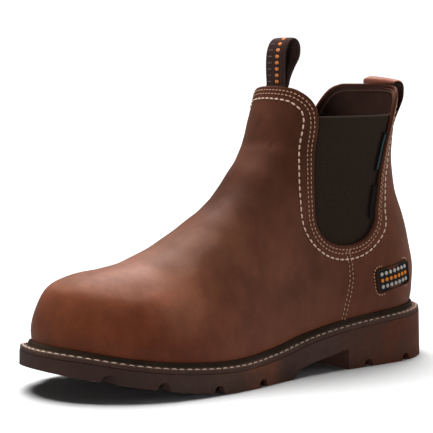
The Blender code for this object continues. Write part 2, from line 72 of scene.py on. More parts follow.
# the last, its parts and their sizes
UPPER_LENGTH = 0.292
BALL_WIDTH = 0.101
HEEL_WIDTH = 0.068
HEEL_TO_ORIGIN = 0.040
HEEL_SEAT_HEIGHT = 0.034
TREAD_SEAT_HEIGHT = 0.0158
TOE_SPRING = 0.013
INSTEP_HEIGHT = 0.100
SHAFT_HEIGHT = 0.200
SHAFT_WIDTH = 0.080
FEATHER_TUCK = 0.0026
FEATHER_TUCK_HEIGHT = 0.014
INSTEP_BLEND = 0.0205
WALL = 0.0026
GAP = 0.0003
GORE_THICKNESS = 0.0015
GORE_OVERLAP = 0.007
WELT_THICKNESS = 0.0027
SOLE_LEDGE = 0.0078
SOLE_FLARE = 0.0014
SHEET_REACH = 0.12
SEAT_REACH = (-0.05, 1.05, 34)
# station (0 heel, 1 toe), share of heel width, share of ball width, shift to the outer side in ball widths
OUTLINE = (
    (0.00, 0.98, 0.00, 0.000),
    (0.16, 1.00, 0.00, 0.004),
    (0.30, 0.82, 0.10, 0.018),
    (0.42, 0.45, 0.38, 0.042),
    (0.52, 0.20, 0.62, 0.058),
    (0.62, 0.00, 0.88, 0.056),
    (0.72, 0.00, 0.97, 0.028),
    (0.80, 0.00, 1.00, -0.006),
    (0.88, 0.00, 1.00, -0.040),
    (1.00, 0.00, 1.00, -0.090),
)
# share of the length that is rounded, inner exponent, outer exponent
HEEL_ROUND = (0.155, 2.0, 2.0)
TOE_ROUND = (0.225, 2.25, 2.0)
# station, height of the welt's edge: share of heel seat height, of tread seat height, of toe spring
SEAT = (
    (-0.05, 1.02, 0.00, 0.00),
    (0.00, 1.01, 0.00, 0.00),
    (0.14, 0.96, 0.00, 0.00),
    (0.28, 0.86, 0.00, 0.00),
    (0.40, 0.55, 0.35, 0.00),
    (0.52, 0.20, 0.72, 0.00),
    (0.64, 0.00, 1.00, 0.00),
    (0.76, 0.00, 1.00, 0.15),
    (0.88, 0.00, 1.00, 0.50),
    (1.00, 0.00, 1.00, 1.00),
    (1.05, 0.00, 1.00, 1.12),
)
# station, height of the ridge above the welt as a share of the instep height
RIDGE = (
    (0.00, 0.860),
    (0.30, 1.150),
    (0.40, 1.270),
    (0.48, 1.185),
    (0.56, 1.010),
    (0.64, 0.850),
    (0.72, 0.705),
    (0.80, 0.585),
    (0.90, 0.512),
    (1.00, 0.504),
)
RIDGE_TOE_ROUND = (0.14, 2.3, 2.0)
RIDGE_HEEL_ROUND = (0.22, 2.0, 1.6)
SECTION_SQUARE_SIDE = 2.5
SECTION_SQUARE_TOP = 2.1
# height above the welt as a share of the shaft, stations of the back, widest place and front, width share
SHAFT = (
    (0.00, 0.030, 0.16, 0.450, 0.810),
    (0.06, 0.006, 0.16, 0.520, 0.825),
    (0.14, -0.012, 0.16, 0.590, 0.835),
    (0.23, -0.004, 0.17, 0.582, 0.845),
    (0.33, 0.014, 0.19, 0.546, 0.860),
    (0.43, 0.040, 0.22, 0.514, 0.875),
    (0.54, 0.048, 0.25, 0.483, 0.890),
    (0.64, 0.042, 0.26, 0.452, 0.920),
    (0.76, 0.030, 0.25, 0.417, 0.966),
    (0.88, 0.024, 0.24, 0.386, 1.010),
    (1.00, 0.020, 0.24, 0.370, 1.040),
)
SHAFT_SQUARE = 2.25
# rise, spine's toe end: station, height share, tilt in degrees; spine's heel end: station, height share
FAN = (
    (0.00, 0.80, 0.000, 0.0, 0.14, 0.000),
    (0.08, 0.80, 0.050, 0.0, 0.14, 0.050),
    (0.16, 0.79, 0.075, 14.0, 0.14, 0.110),
    (0.24, 0.77, 0.085, 34.0, 0.15, 0.170),
    (0.34, 0.71, 0.090, 55.0, 0.16, 0.240),
    (0.44, 0.62, 0.105, 66.0, 0.18, 0.320),
    (0.54, 0.52, 0.150, 64.0, 0.20, 0.400),
    (0.64, 0.43, 0.250, 50.0, 0.22, 0.500),
    (0.76, 0.36, 0.450, 28.0, 0.23, 0.620),
    (0.88, 0.33, 0.680, 10.0, 0.23, 0.770),
    (1.00, 0.32, 0.910, 0.0, 0.23, 0.910),
)
FAN_AXIS_FADE = 0.08
RAY_REACH = 0.30
RAY_STEPS = 40
# height, front edge of the gore opening, its rear edge on the outer side, its rear edge on the inner side
OPENING = (
    (0.1060, -0.0669, -0.0112, -0.0150),
    (0.1200, -0.0666, -0.0072, -0.0135),
    (0.1350, -0.0656, -0.0018, -0.0118),
    (0.1500, -0.0641, 0.0044, -0.0100),
    (0.1695, -0.0618, 0.0140, -0.0078),
    (0.1760, -0.0628, 0.0168, -0.0050),
    (0.1820, -0.0658, 0.0205, 0.0000),
    (0.1870, -0.0700, 0.0250, 0.0050),
    (0.1900, -0.0735, 0.0292, 0.0100),
    (0.1915, -0.0770, 0.0325, 0.0150),
)
OPENING_BOTTOM_DEPTH = 0.0226
OPENING_BOTTOM_SQUARE = 2.2
OPENING_TOP = 0.25
COLLAR_FRONT_HEIGHT = 0.1918
COLLAR_BACK_HEIGHT = 0.1912
GORE_TOP = 0.1705
GORE_TURNS = (48, 160)
GORE_RISES = (0.24, 0.90)
# places along the underside are stations, as above
SPRING_START = 0.6575
SPRING_END = 1.0275
SPRING_RISE = TOE_SPRING + 0.005
SPRING_POWER = 1.35
SPRING_BENDS = (0.8904, 0.7740, 0.7397, SPRING_START)
TOE_END = (1.130, 1.034, 0.990)
HEEL_END = -0.137
FORE_TREAD_END = 0.4726
BREAST = 0.2911
# station, height of the arch's underside
ARCH = (
    (0.2911, 0.0142),
    (0.3425, 0.0112),
    (0.4110, 0.0078),
    (0.4555, 0.0050),
)
GROOVES = (0.1027, 0.2295, 0.5753, 0.7075, 0.8401, 0.9418)
GROOVE_WIDTH = 0.0088
GROOVE_DEPTH = 0.0052
GROOVE_STEPS = 4
# channel: stations of its start and end, place to the outer side as a share of the ball width, width
CHANNELS = (
    (-0.0685, 0.2877, 0.188, 0.0050),
    (-0.0685, 0.2877, -0.188, 0.0050),
    (0.4760, 0.9726, 0.228, 0.0055),
    (0.4760, 0.9726, -0.168, 0.0055),
)
CHANNEL_DEPTH = 0.0028
CHANNEL_STEPS = 12
CHANNEL_FOOT = -0.02
PRISM_FOOT = -0.010
SOLE_PRISM_TOP = HEEL_SEAT_HEIGHT + 0.016
BADGE_CENTRE = (0.004, 0.0585)
BADGE_SIZE = (0.0355, 0.0172)
BADGE_CORNER = 0.004
BADGE_LEAN = math.radians(8)
FRONT_LOOP_WIDTH = 0.0205
FRONT_LOOP_THICKNESS = 0.0018
# height, distance behind the collar's outer face, share of the collar's curve that it follows
FRONT_LOOP = (
    (0.1660, 0.0041, 1.0),
    (0.1780, 0.0041, 1.0),
    (0.1900, 0.0042, 1.0),
    (0.1980, 0.0041, 0.8),
    (0.2060, 0.0042, 0.6),
    (0.2135, 0.0050, 0.5),
    (0.2195, 0.0076, 0.4),
    (0.2222, 0.0114, 0.4),
    (0.2212, 0.0152, 0.4),
    (0.2168, 0.0174, 0.4),
    (0.2100, 0.0166, 0.5),
    (0.2030, 0.0122, 0.6),
    (0.1960, 0.0084, 0.8),
    (0.1900, 0.0067, 1.0),
    (0.1780, 0.0065, 1.0),
    (0.1660, 0.0065, 1.0),
)
REAR_LOOP_WIDTH = 0.030
REAR_LOOP_THICKNESS = 0.0018
# the strap sits a little inwards of the back's middle and dips to its outer side
REAR_LOOP_SHIFT = -0.002
REAR_LOOP_DIP = 0.12
# height, distance in front of the collar's outer face, share of the collar's curve that it follows
REAR_LOOP = (
    (0.1918, 0.0013, 1.0),
    (0.1930, 0.0014, 1.0),
    (0.1940, 0.0008, 1.0),
    (0.1946, -0.0008, 0.9),
    (0.1948, -0.0024, 0.9),
    (0.1944, -0.0042, 0.8),
    (0.1928, -0.0058, 0.8),
    (0.1890, -0.0068, 0.8),
    (0.1830, -0.0070, 0.8),
    (0.1770, -0.0058, 0.9),
    (0.1715, -0.0044, 1.0),
    (0.1660, -0.0028, 1.0),
    (0.1600, -0.0013, 1.0),
)
WALL_SEARCH_TURN = 60
WALL_SEARCH_COLUMNS = 25
WALL_SEARCH_RISES = (0.60, 1.0, 24)

# fineness of the modelled surfaces
GRID_COLUMNS = 264
GRID_ROWS = 104
GRID_START = math.radians(-100)
OUTLINE_STEPS = 44
SOLE_COLUMNS = 300
STRAP_COLUMNS = 25
STITCH_RINGS = 7
STITCH_SIDES = 6
STUD_SIDES = 12
SIDE_SEAM_STEPS = 60
BACK_SEAM_STEPS = 80
TAB_LEVELS = 24
TAB_COLUMNS = 9
REFINE_REACH = 0.0034
REFINE_LENGTH = 0.0008
SEAM_STEP = 0.0005
MERGE_DISTANCE = 2e-6
SHARP_ANGLE = math.radians(42)
# how far out the rays towards the leather start
RAY_START = 0.2
# half the band in the middle of the boot that the openings' cutters leave alone
MIDDLE_BAND = 0.002
# how much wider an opening's cutter is at its top than the opening, on each side
CUTTER_SPLAY = 0.004

# rolled edge of the collar and the gore openings
ROLL_RADIUS = 0.00138
ROLL_INSET = 0.0013
# stitch rows: height, distance of the two fine rows and the heavy row from the edge
FRONT_ROWS = (
    (0.0800, 0.0031, 0.0058, 0.0098),
    (0.1000, 0.0031, 0.0058, 0.0118),
    (0.1500, 0.0031, 0.0058, 0.0116),
    (0.1750, 0.0031, 0.0058, 0.0100),
    (0.1860, 0.0031, 0.0057, 0.0088),
    (0.1950, 0.0031, 0.0056, 0.0082),
)
REAR_ROWS = (
    (0.0800, 0.0031, 0.0056, 0.0094),
    (0.0950, 0.0029, 0.0050, 0.0104),
    (0.1100, 0.0023, 0.0040, 0.0080),
    (0.1300, 0.0019, 0.0035, 0.0064),
    (0.1950, 0.0019, 0.0035, 0.0062),
)
ROWS_MEET = (-0.050, -0.025)
# pitch, length, width, height of one stitch
FINE_STITCH = (0.0031, 0.0022, 0.00085, 0.00055)
HEAVY_STITCH = (0.0046, 0.0036, 0.00120, 0.00085)
SEAM_STITCH = (0.0030, 0.0021, 0.00085, 0.00055)
BADGE_STITCH = (0.0024, 0.0017, 0.00095, 0.00070)
WELT_STITCH = (0.0054, 0.0040, 0.00105, 0.00080)
# arch of a stitch: rise in its middle and fall to its ends, as shares of its height
STITCH_ARCH = (0.30, 0.55)
STITCH_GROOVE = 0.00028
STITCH_GROOVE_WIDTH = 0.00060

# side seam: place along the boot and height, from the gore down to the welt
SIDE_SEAM = (
    (-0.0395, 0.0788),
    (-0.0372, 0.0690),
    (-0.0368, 0.0600),
    (-0.0385, 0.0510),
    (-0.0415, 0.0420),
    (-0.0432, 0.0335),
)
SIDE_SEAM_SPREAD = 0.0014
BACK_SEAM_HEIGHTS = (0.0395, 0.1590)
BACK_SEAM_SPREAD = 0.0021

# toe cap under the leather: station of its rear edge on top and at the welt, height of the step
TOE_CAP_TOP = 0.790
TOE_CAP_SIDE = 0.816
TOE_CAP_STEP = 0.00075
# where the edge's curve ends, as a share of the instep height, and the curve's power
TOE_CAP_EDGE = (0.6, 0.7)
TOE_CAP_SOFT = 0.009
# lip on the step: its size as a share of the step, its place and spread as shares of the soft length
TOE_CAP_LIP = (0.35, 0.9, 0.7)
# height above the seat over which the step begins
TOE_CAP_FADE = 0.010
# shoulder of the cap: height above the seat, width up and down, how far it stands out
TOE_SHOULDER = (0.0365, 0.0085, 0.0011)
# crease: station at the ridge, height above the floor there, lean, length across, depth, width
CREASES = (
    (0.600, 0.085, 0.30, 0.052, 0.00060, 0.0050),
    (0.548, 0.098, 0.20, 0.048, 0.00075, 0.0060),
    (0.500, 0.108, 0.12, 0.046, 0.00060, 0.0060),
    (0.452, 0.120, 0.00, 0.040, 0.00045, 0.0060),
)
# how far a crease sways and how fast, how far it reaches to each side
CREASE_WANDER = (0.004, 90)
CREASE_REACH = 0.045
# ridge beside a crease: size as a share of the crease's depth, place as a share of its width
CREASE_RIDGE = (0.45, 1.5)
# slow unevenness of the whole upper: size, waves along the boot, waves up it
UNEVENNESS = (0.00022, 165, 120)

# distance out from the upper, height above the welt's edge
WELT_PROFILE = (
    (0.0003, -0.0027),
    (0.0003, 0.0000),
    (0.0003, 0.0030),
    (0.0009, 0.0036),
    (0.0018, 0.0035),
    (0.0027, 0.0026),
    (0.0033, 0.0012),
    (0.0038, 0.0003),
    (0.0046, 0.0001),
    (0.0054, -0.0003),
    (0.0069, -0.0003),
    (0.0072, 0.0001),
    (0.0076, 0.0000),
    (0.0079, -0.0006),
    (0.0080, -0.0014),
    (0.0080, -0.0027),
)
WELT_WALL_ROWS = 5
WELT_STITCH_OUT = 0.0062
# length over which the ledge takes on its rear colour
WELT_REAR_REACH = 0.03
# heights above which the welt's rib starts and below which its side starts
WELT_RIB_FROM = 0.0006
WELT_SIDE_FROM = -0.0005
SOLE_EDGE_BEVEL = 0.0005
SOLE_EDGE_ANGLE = math.radians(38)

GORE_COLUMNS = 330
GORE_LEVELS = 30
RIB_PITCH = 0.00135
RIB_HEIGHT = 0.00011
RIB_LEAN = 0.10
# blank tabs: lower and upper height, how far each side stands ahead of the opening's rear edge, depths
TAB_ENDS = ((0.1320, 0.1582), (0.1000, 0.1230))
TAB_SIDES = (0.0052, -0.0012)
TAB_DEPTHS = (0.0012, 0.0028)
STRIPE_END = (0.1335, 0.1565)
STRIPE_SIDES = (0.0046, 0.0034)
STRIPE_DEPTHS = (0.0009, 0.0013)
# length over which a tab's ends grow thinner, and the share of its thickness at the very end
TAB_ROUND = 0.0012
TAB_END_SHARE = 0.35
BADGE_BASE = 0.0006
# rings of the patch: share of the way out from its middle, growth of its outline, height
BADGE_PROFILE = (
    (1.0, 0.0, -0.0001),
    (1.0, 0.0, 0.0011),
    (1.0, -0.0003, 0.0013),
    (1.0, -0.0009, 0.0013),
    (1.0, -0.0012, 0.0011),
    (1.0, -0.0014, BADGE_BASE),
    (0.66, -0.0014, BADGE_BASE),
    (0.33, -0.0014, BADGE_BASE),
)
BADGE_CORNER_STEPS = 7
BADGE_STITCH_OUT = 0.0013
BADGE_DOTS = (3, 7)
BADGE_DOT_PITCH = (0.0042, 0.0044)
BADGE_DOT_RADIUS = 0.00135
BADGE_DOT_HEIGHT = 0.0007
# rings of a stud and of a woven bar: share of the half widths, share of the rise
STUD_PROFILE = ((1.0, -0.15), (1.0, 0.45), (0.8, 0.8), (0.45, 1.0))
BAR_PROFILE = ((1.0, 0.45), (0.95, 0.85), (0.7, 1.0))
LINING_LINE_INSET = 0.0052
LINING_LINE_RADIUS = 0.0005
# height and pitch of the front loop's ribs
LOOP_RIPPLE = (0.00010, 0.00143)
LOOP_BARS = 8
LOOP_BAR_PITCH = 0.0042
# height of the first bar above the collar's front
LOOP_BAR_START = 0.0018
# place across the loop, and size across, along and proud of it
LOOP_BAR = (0.0020, 0.0040, 0.0024, 0.0013)
LOOP_WEFT = (-0.0050, 0.0052, 0.0010, 0.0011)

# sRGB colours
LEATHER_BASE = (92, 55, 42)
# tone of the leather, among them painted highlights and painted shade: place along the boot, height, reach,
# colour
LEATHER_TONES_AND_PAINTED_LIGHT = (
    (-0.245, 0.040, 0.040, (106, 56, 34)),
    (-0.205, 0.035, 0.040, (104, 50, 32)),
    # painted highlight: a light spot on the toe cap's rear edge, where the top light catches it
    (-0.185, 0.056, 0.015, (158, 104, 80)),
    (-0.225, 0.074, 0.020, (122, 74, 53)),
    (-0.150, 0.085, 0.040, (96, 59, 43)),
    # painted shade: the instep darkened where the top light doesn't fall on it
    (-0.120, 0.116, 0.021, (54, 30, 21)),
    (-0.080, 0.075, 0.040, (98, 59, 42)),
    (-0.120, 0.035, 0.040, (112, 64, 47)),
    (-0.068, 0.150, 0.040, (80, 46, 32)),
    (-0.020, 0.060, 0.035, (98, 53, 36)),
    (0.010, 0.095, 0.030, (88, 51, 33)),
    (0.000, 0.045, 0.018, (66, 35, 25)),
    # these two rows: partly the back's own lighter tone, partly painted highlight where the light from
    # behind falls
    (0.035, 0.060, 0.030, (124, 71, 50)),
    (0.035, 0.150, 0.040, (126, 75, 56)),
)
# weight of the base colour beside those of the tones
BASE_TONE_WEIGHT = 0.06
# wax bloom and painted highlight on the upward faces, lighter where the top light falls: slope where it
# starts, its softness, height where it ends, softness
BLOOM_AND_HIGHLIGHT_SLOPE = (0.67, 0.035)
BLOOM_AND_HIGHLIGHT_TOP = (0.098, 0.005)
BLOOM_AND_HIGHLIGHT_STRENGTH = 0.15
BLOOM_AND_HIGHLIGHT_COLOUR = (162, 128, 112)
# waver of the border of the bloom and painted highlight: size, waves across the boot, waves along it
BLOOM_AND_HIGHLIGHT_WAVER = (0.03, 210, 170)
RUBBER_TONES = (
    (-0.240, 0.015, 0.030, (66, 47, 42)),
    (-0.180, 0.010, 0.030, (74, 56, 49)),
    (-0.155, 0.010, 0.016, (88, 64, 55)),
    (-0.134, 0.010, 0.012, (116, 68, 49)),
    (-0.070, 0.018, 0.020, (72, 52, 46)),
    (-0.030, 0.020, 0.016, (80, 50, 39)),
    (0.000, 0.020, 0.020, (92, 50, 36)),
    (0.040, 0.020, 0.020, (100, 54, 40)),
)
LEATHER_EDGE = (76, 42, 30)
LEATHER_SEAM = (66, 38, 28)
RUBBER = (64, 48, 42)
RUBBER_DARK = (66, 51, 43)
WELT_LEDGE = (82, 67, 57)
# dark rib beside the upper: partly its own colour, partly painted shade of the groove where the welt meets
# the upper
WELT_RIB_AND_SHADE = (46, 35, 26)
WELT_SIDE = (74, 53, 46)
WELT_REAR = (122, 84, 68)
LINING = (64, 44, 37)
ELASTIC = (46, 36, 29)
ELASTIC_HEM = (70, 60, 52)
WEBBING = (62, 45, 41)
# lighter than the upper: partly the strap's own tone, partly painted highlight of its lit top
STRAP_TONE_AND_HIGHLIGHT = (142, 88, 70)
# finish: name, colour, roughness, specular, scale and depth of its grain, darkest and lightest shade
PLAIN_FINISHES = (
    ("patch rim", (58, 38, 25), 0.6, 0.12, 500, 0.0001, 0.88, 1.12),
    ("patch rubber", (24, 20, 18), 0.5, 0.3, 500, 0.0001, 0.88, 1.12),
    ("orange thread", (238, 136, 34), 0.6, 0.2, 900, 0.0001, 0.88, 1.12),
    ("pale studs", (188, 184, 178), 0.55, 0.2, 900, 0.0001, 0.88, 1.12),
    ("loop thread", (226, 138, 78), 0.6, 0.2, 900, 0.0001, 0.8, 1.15),
    ("loop weft", (104, 88, 88), 0.6, 0.2, 900, 0.0001, 0.88, 1.12),
    ("tan thread", (188, 146, 120), 0.65, 0.15, 1200, 0.00012, 0.88, 1.12),
    ("cream thread", (222, 190, 168), 0.65, 0.15, 1200, 0.00012, 0.88, 1.12),
    ("welt thread", (194, 170, 154), 0.7, 0.15, 1200, 0.00012, 0.75, 1.15),
    ("dark thread", (96, 64, 48), 0.65, 0.15, 1200, 0.00012, 0.88, 1.12),
    ("lining binding", (84, 62, 52), 0.6, 0.2, 500, 0.0001, 0.88, 1.12),
    ("tab cloth", (26, 22, 20), 0.7, 0.2, 900, 0.0001, 0.8, 1.2),
    ("tab stripe", (48, 76, 80), 0.6, 0.2, 900, 0.0001, 0.88, 1.12),
    ("sock lining", (58, 42, 34), 0.85, 0.1, 420, 0.0002, 0.88, 1.12),
)


def smooth(rows, column, at):
    """Smooth curve through one column of a table, held level beyond its ends."""
    places = np.array([row[0] for row in rows])
    values = np.array([row[column] for row in rows])
    slopes = np.gradient(values, places)
    at = np.clip(at, places[0], places[-1])
    row = np.clip(np.searchsorted(places, at) - 1, 0, len(places) - 2)
    span = places[row + 1] - places[row]
    part = (at - places[row]) / span
    start = (2 * part**3 - 3 * part**2 + 1) * values[row]
    start_slope = (part**3 - 2 * part**2 + part) * span * slopes[row]
    end = (3 * part**2 - 2 * part**3) * values[row + 1]
    end_slope = (part**3 - part**2) * span * slopes[row + 1]
    return start + start_slope + end + end_slope


def rounding(distance, length, inner, outer):
    """Zero at the end of the foot, rising round to one at the given length from it."""
    left = np.clip(1 - distance / length, 0, 1)
    return np.maximum(1 - left**inner, 0) ** (1 / outer)


def station_to_y(station):
    return HEEL_TO_ORIGIN - station * UPPER_LENGTH


def y_to_station(y):
    return (HEEL_TO_ORIGIN - y) / UPPER_LENGTH


def half_breadth(station):
    """Half the foot's width at the welt."""
    half = (smooth(OUTLINE, 1, station) * HEEL_WIDTH + smooth(OUTLINE, 2, station) * BALL_WIDTH) / 2
    return half * rounding(station, *HEEL_ROUND) * rounding(1 - station, *TOE_ROUND)


def axis_x(station):
    """Middle of the foot, which curves inwards towards the toe."""
    return smooth(OUTLINE, 3, station) * BALL_WIDTH


def seat_height(station):
    """Height of the welt's edge above the floor."""
    heel = smooth(SEAT, 1, station) * HEEL_SEAT_HEIGHT
    tread = smooth(SEAT, 2, station) * TREAD_SEAT_HEIGHT
    return heel + tread + smooth(SEAT, 3, station) * TOE_SPRING


def ridge_height(station):
    """Height of the foot's top line above the welt."""
    height = smooth(RIDGE, 1, station) * INSTEP_HEIGHT
    return height * rounding(1 - station, *RIDGE_TOE_ROUND) * rounding(station, *RIDGE_HEEL_ROUND)


def foot_side(x, y, up):
    """Below zero inside the foot part of the last, above zero outside it."""
    station = y_to_station(y)
    tuck = FEATHER_TUCK * np.clip(1 - up / FEATHER_TUCK_HEIGHT, 0, 1) ** 2
    ends = rounding(np.minimum(station, 1 - station), 0.02, 2, 2)
    half = np.maximum(half_breadth(station) + FEATHER_TUCK * ends - tuck, 1e-5)
    height = np.maximum(ridge_height(station), 1e-5)
    across = (np.abs(x - axis_x(station)) / half) ** SECTION_SQUARE_SIDE
    value = across + (np.abs(up) / height) ** SECTION_SQUARE_TOP - 1
    return np.where((station < 0) | (station > 1), 1.0, value)


def shaft_side(x, y, up):
    """Below zero inside the shaft part of the last, above zero outside it."""
    station = y_to_station(y)
    level = up / SHAFT_HEIGHT
    back = smooth(SHAFT, 1, level)
    widest = smooth(SHAFT, 2, level)
    front = smooth(SHAFT, 3, level)
    half = smooth(SHAFT, 4, level) * SHAFT_WIDTH / 2
    ahead = (station - widest) / (front - widest)
    behind = (widest - station) / (widest - back)
    along = np.where(station > widest, ahead, behind)
    across = np.abs(x - axis_x(np.clip(station, 0, 0.16))) / half
    return np.abs(along) ** SHAFT_SQUARE + across**SHAFT_SQUARE - 1


def ray_length(side, origin, direction):
    """Distance from each origin to the surface of a body, zero where the origin is outside it."""
    near = np.zeros(origin.shape[:-1])
    far = np.full(origin.shape[:-1], RAY_REACH)
    inside = side(*np.moveaxis(origin, -1, 0)) < 0
    for _ in range(RAY_STEPS):
        middle = (near + far) / 2
        point = origin + middle[..., None] * direction
        outside = side(*np.moveaxis(point, -1, 0)) > 0
        far = np.where(outside, middle, far)
        near = np.where(outside, near, middle)
    return np.where(inside, near, 0.0)


def ring_offset(ring, distance):
    """Move a closed ring of points outwards in plan."""
    along = np.roll(ring, -1, 0) - np.roll(ring, 1, 0)
    out = np.stack([-along[:, 1], along[:, 0], 0 * along[:, 0]], -1)
    out /= np.linalg.norm(out, axis=1, keepdims=True)
    centre = ring.mean(0)
    facing = np.sign(((ring - centre) * out).sum())
    return ring + facing * distance * out


def grid_faces(rows, columns, first, closed):
    """Quads of a grid whose points are numbered row by row from a first number."""
    faces = []
    for row in range(rows - 1):
        for column in range(columns if closed else columns - 1):
            following = (column + 1) % columns
            low = first + row * columns
            high = low + columns
            faces.append((low + column, low + following, high + following, high + column))
    return faces


def ring_sweep(name, rings):
    """Closed ring whose section runs through several rings and back to the first."""
    columns = len(rings[0])
    points = np.vstack(rings + [rings[0]])
    faces = grid_faces(len(rings) + 1, columns, 0, True)
    last = len(rings) * columns
    faces = [tuple(index - last if index >= last else index for index in face) for face in faces]
    return make_object(name, points[:last], faces)


def prism(name, low, high):
    """Solid between two outlines with the same number of points."""
    count = len(low)
    faces = [tuple(range(count)), tuple(range(2 * count - 1, count - 1, -1))]
    for start in range(count):
        end = (start + 1) % count
        faces.append((start, end, end + count, start + count))
    return make_object(name, list(low) + list(high), faces)


def side_prism(name, outline, start, end):
    """Side view outline of (y, z) pairs carried across from one x to another."""
    low = [(start, y, z) for y, z in outline]
    high = [(end, y, z) for y, z in outline]
    return prism(name, low, high)


def combine(target, cutter, operation):
    """Cut or keep part of a target by a cutter, which is then removed."""
    modifier = target.modifiers.new(operation, "BOOLEAN")
    modifier.operation = operation
    modifier.solver = "EXACT"
    modifier.object = cutter
    graph = bpy.context.evaluated_depsgraph_get()
    mesh = bpy.data.meshes.new_from_object(target.evaluated_get(graph))
    target.modifiers.clear()
    target.data = mesh
    bpy.data.objects.remove(cutter)


def opening_outline(rear_column, grow, top):
    """Side view outline of a gore opening, grown all round and cut level at a top height."""
    base = OPENING[0][0]
    heights = np.linspace(top, base, OUTLINE_STEPS)
    front = smooth(OPENING, 1, heights) - grow
    rear = smooth(OPENING, rear_column, heights) + grow
    middle = (front[-1] + rear[-1]) / 2
    half = (rear[-1] - front[-1]) / 2
    depth = OPENING_BOTTOM_DEPTH + grow
    power = 2 / OPENING_BOTTOM_SQUARE
    outline = list(zip(front, heights))
    for angle in np.linspace(0, math.pi, OUTLINE_STEPS)[1:-1]:
        along = math.copysign(abs(math.cos(angle)) ** power, math.cos(angle))
        outline.append((middle - half * along, base - depth * math.sin(angle) ** power))
    return outline + list(zip(rear, heights))[::-1]


def tread_height(station):
    """Height of the forefoot's underside, flat under the ball and rising to the toe."""
    share = np.clip((station - SPRING_START) / (SPRING_END - SPRING_START), 0, None)
    return SPRING_RISE * share**SPRING_POWER


def tread_point(station):
    """Point of the tread in side view."""
    return (station_to_y(station), tread_height(station))


def groove_outline(station):
    """Underside points of one groove, from its toe side to its heel side."""
    half = GROOVE_WIDTH / 2
    middle, top = tread_point(station)
    points = [tread_point(y_to_station(middle - half))]
    for angle in np.linspace(0, math.pi, GROOVE_STEPS + 2)[1:-1]:
        points.append((middle - half * 0.86 * math.cos(angle), top + GROOVE_DEPTH * math.sin(angle) ** 0.6))
    points.append(tread_point(y_to_station(middle + half)))
    return points


def sole_underside():
    """Side view of the sole's underside from beyond the toe to beyond the heel."""
    toe = [tread_point(station) for station in TOE_END]
    bends = [tread_point(station) for station in SPRING_BENDS]
    fore = [point for station in GROOVES if station > BREAST for point in groove_outline(station)]
    heel = [point for station in GROOVES if station < BREAST for point in groove_outline(station)]
    arch = [(station_to_y(station), height) for station, height in reversed(ARCH)]
    points = toe + sorted(fore + bends, key=lambda point: point[0])
    points += [(station_to_y(FORE_TREAD_END), 0.0), *arch, (station_to_y(BREAST), 0.0)]
    return points + sorted(heel, key=lambda point: point[0]) + [(station_to_y(HEEL_END), 0.0)]


def collar_wall(facing):
    """Outer face of the collar at its front or back, a column of points for each direction."""
    spread = np.radians(np.linspace(-WALL_SEARCH_TURN, WALL_SEARCH_TURN, WALL_SEARCH_COLUMNS))
    return np.moveaxis(surface(facing + spread, np.linspace(*WALL_SEARCH_RISES)), 1, 0)


def wall_y(columns, x, height):
    """Place of the collar's outer face at one x and height."""
    across = np.array([np.interp(height, column[:, 2], column[:, 0]) for column in columns])
    along = np.array([np.interp(height, column[:, 2], column[:, 1]) for column in columns])
    order = np.argsort(across)
    return np.interp(x, across[order], along[order])


def surface_at(turn, rise):
    """Points on the upper's outer face, one for each pair of turn and rise."""
    toe_station, toe_up, tilt, heel_station, heel_up = (smooth(FAN, column, rise) for column in range(1, 6))
    toward_toe = (1 + np.cos(turn)) / 2
    station = heel_station + (toe_station - heel_station) * toward_toe
    up = (heel_up + (toe_up - heel_up) * toward_toe) * SHAFT_HEIGHT
    fade = np.clip(1 - up / FAN_AXIS_FADE, 0, 1)
    origin = np.stack([axis_x(station) * fade, station_to_y(station), up], -1)
    lean = np.radians(tilt) * toward_toe
    level = np.cos(lean)
    direction = np.stack([np.sin(turn) * level, -np.cos(turn) * level, np.sin(lean)], -1)
    foot = ray_length(foot_side, origin, direction)
    shaft = ray_length(shaft_side, origin, direction)
    mix = np.clip(0.5 + (foot - shaft) / (2 * INSTEP_BLEND), 0, 1)
    reach = shaft + (foot - shaft) * mix + INSTEP_BLEND * mix * (1 - mix)
    point = origin + reach[..., None] * direction
    point[..., 2] += seat_height(y_to_station(point[..., 1]))
    return point


def surface(turns, rises):
    turn, rise = np.meshgrid(turns, rises)
    return surface_at(turn, rise)


def ring_at(up, columns):
    """Ring round the foot at a small height above the welt's edge."""
    rise = up / (FAN[1][2] * SHAFT_HEIGHT) * FAN[1][0]
    return surface(np.arange(columns) * 2 * math.pi / columns, np.array([rise]))[0]


def grid_normals(points, closed):
    """Outward directions of a grid of points, which closes round along its columns or stays open."""
    along_rise = np.gradient(points, axis=0)
    along_turn = np.roll(points, -1, 1) - np.roll(points, 1, 1) if closed else np.gradient(points, axis=1)
    normal = np.cross(along_turn, along_rise)
    return normal / np.maximum(np.linalg.norm(normal, axis=-1, keepdims=True), 1e-12)


def on_grid(grid, spots):
    """Values of a closed grid at pairs of row and column that need not be whole."""
    rows, columns = grid.shape[:2]
    row = np.clip(np.floor(spots[:, 0]).astype(int), 0, rows - 2)
    column = np.floor(spots[:, 1]).astype(int)
    up = (spots[:, 0] - row)[:, None]
    along = (spots[:, 1] - column)[:, None]
    left = column % columns
    right = (column + 1) % columns
    low = grid[row, left] * (1 - along) + grid[row, right] * along
    high = grid[row + 1, left] * (1 - along) + grid[row + 1, right] * along
    return low * (1 - up) + high * up


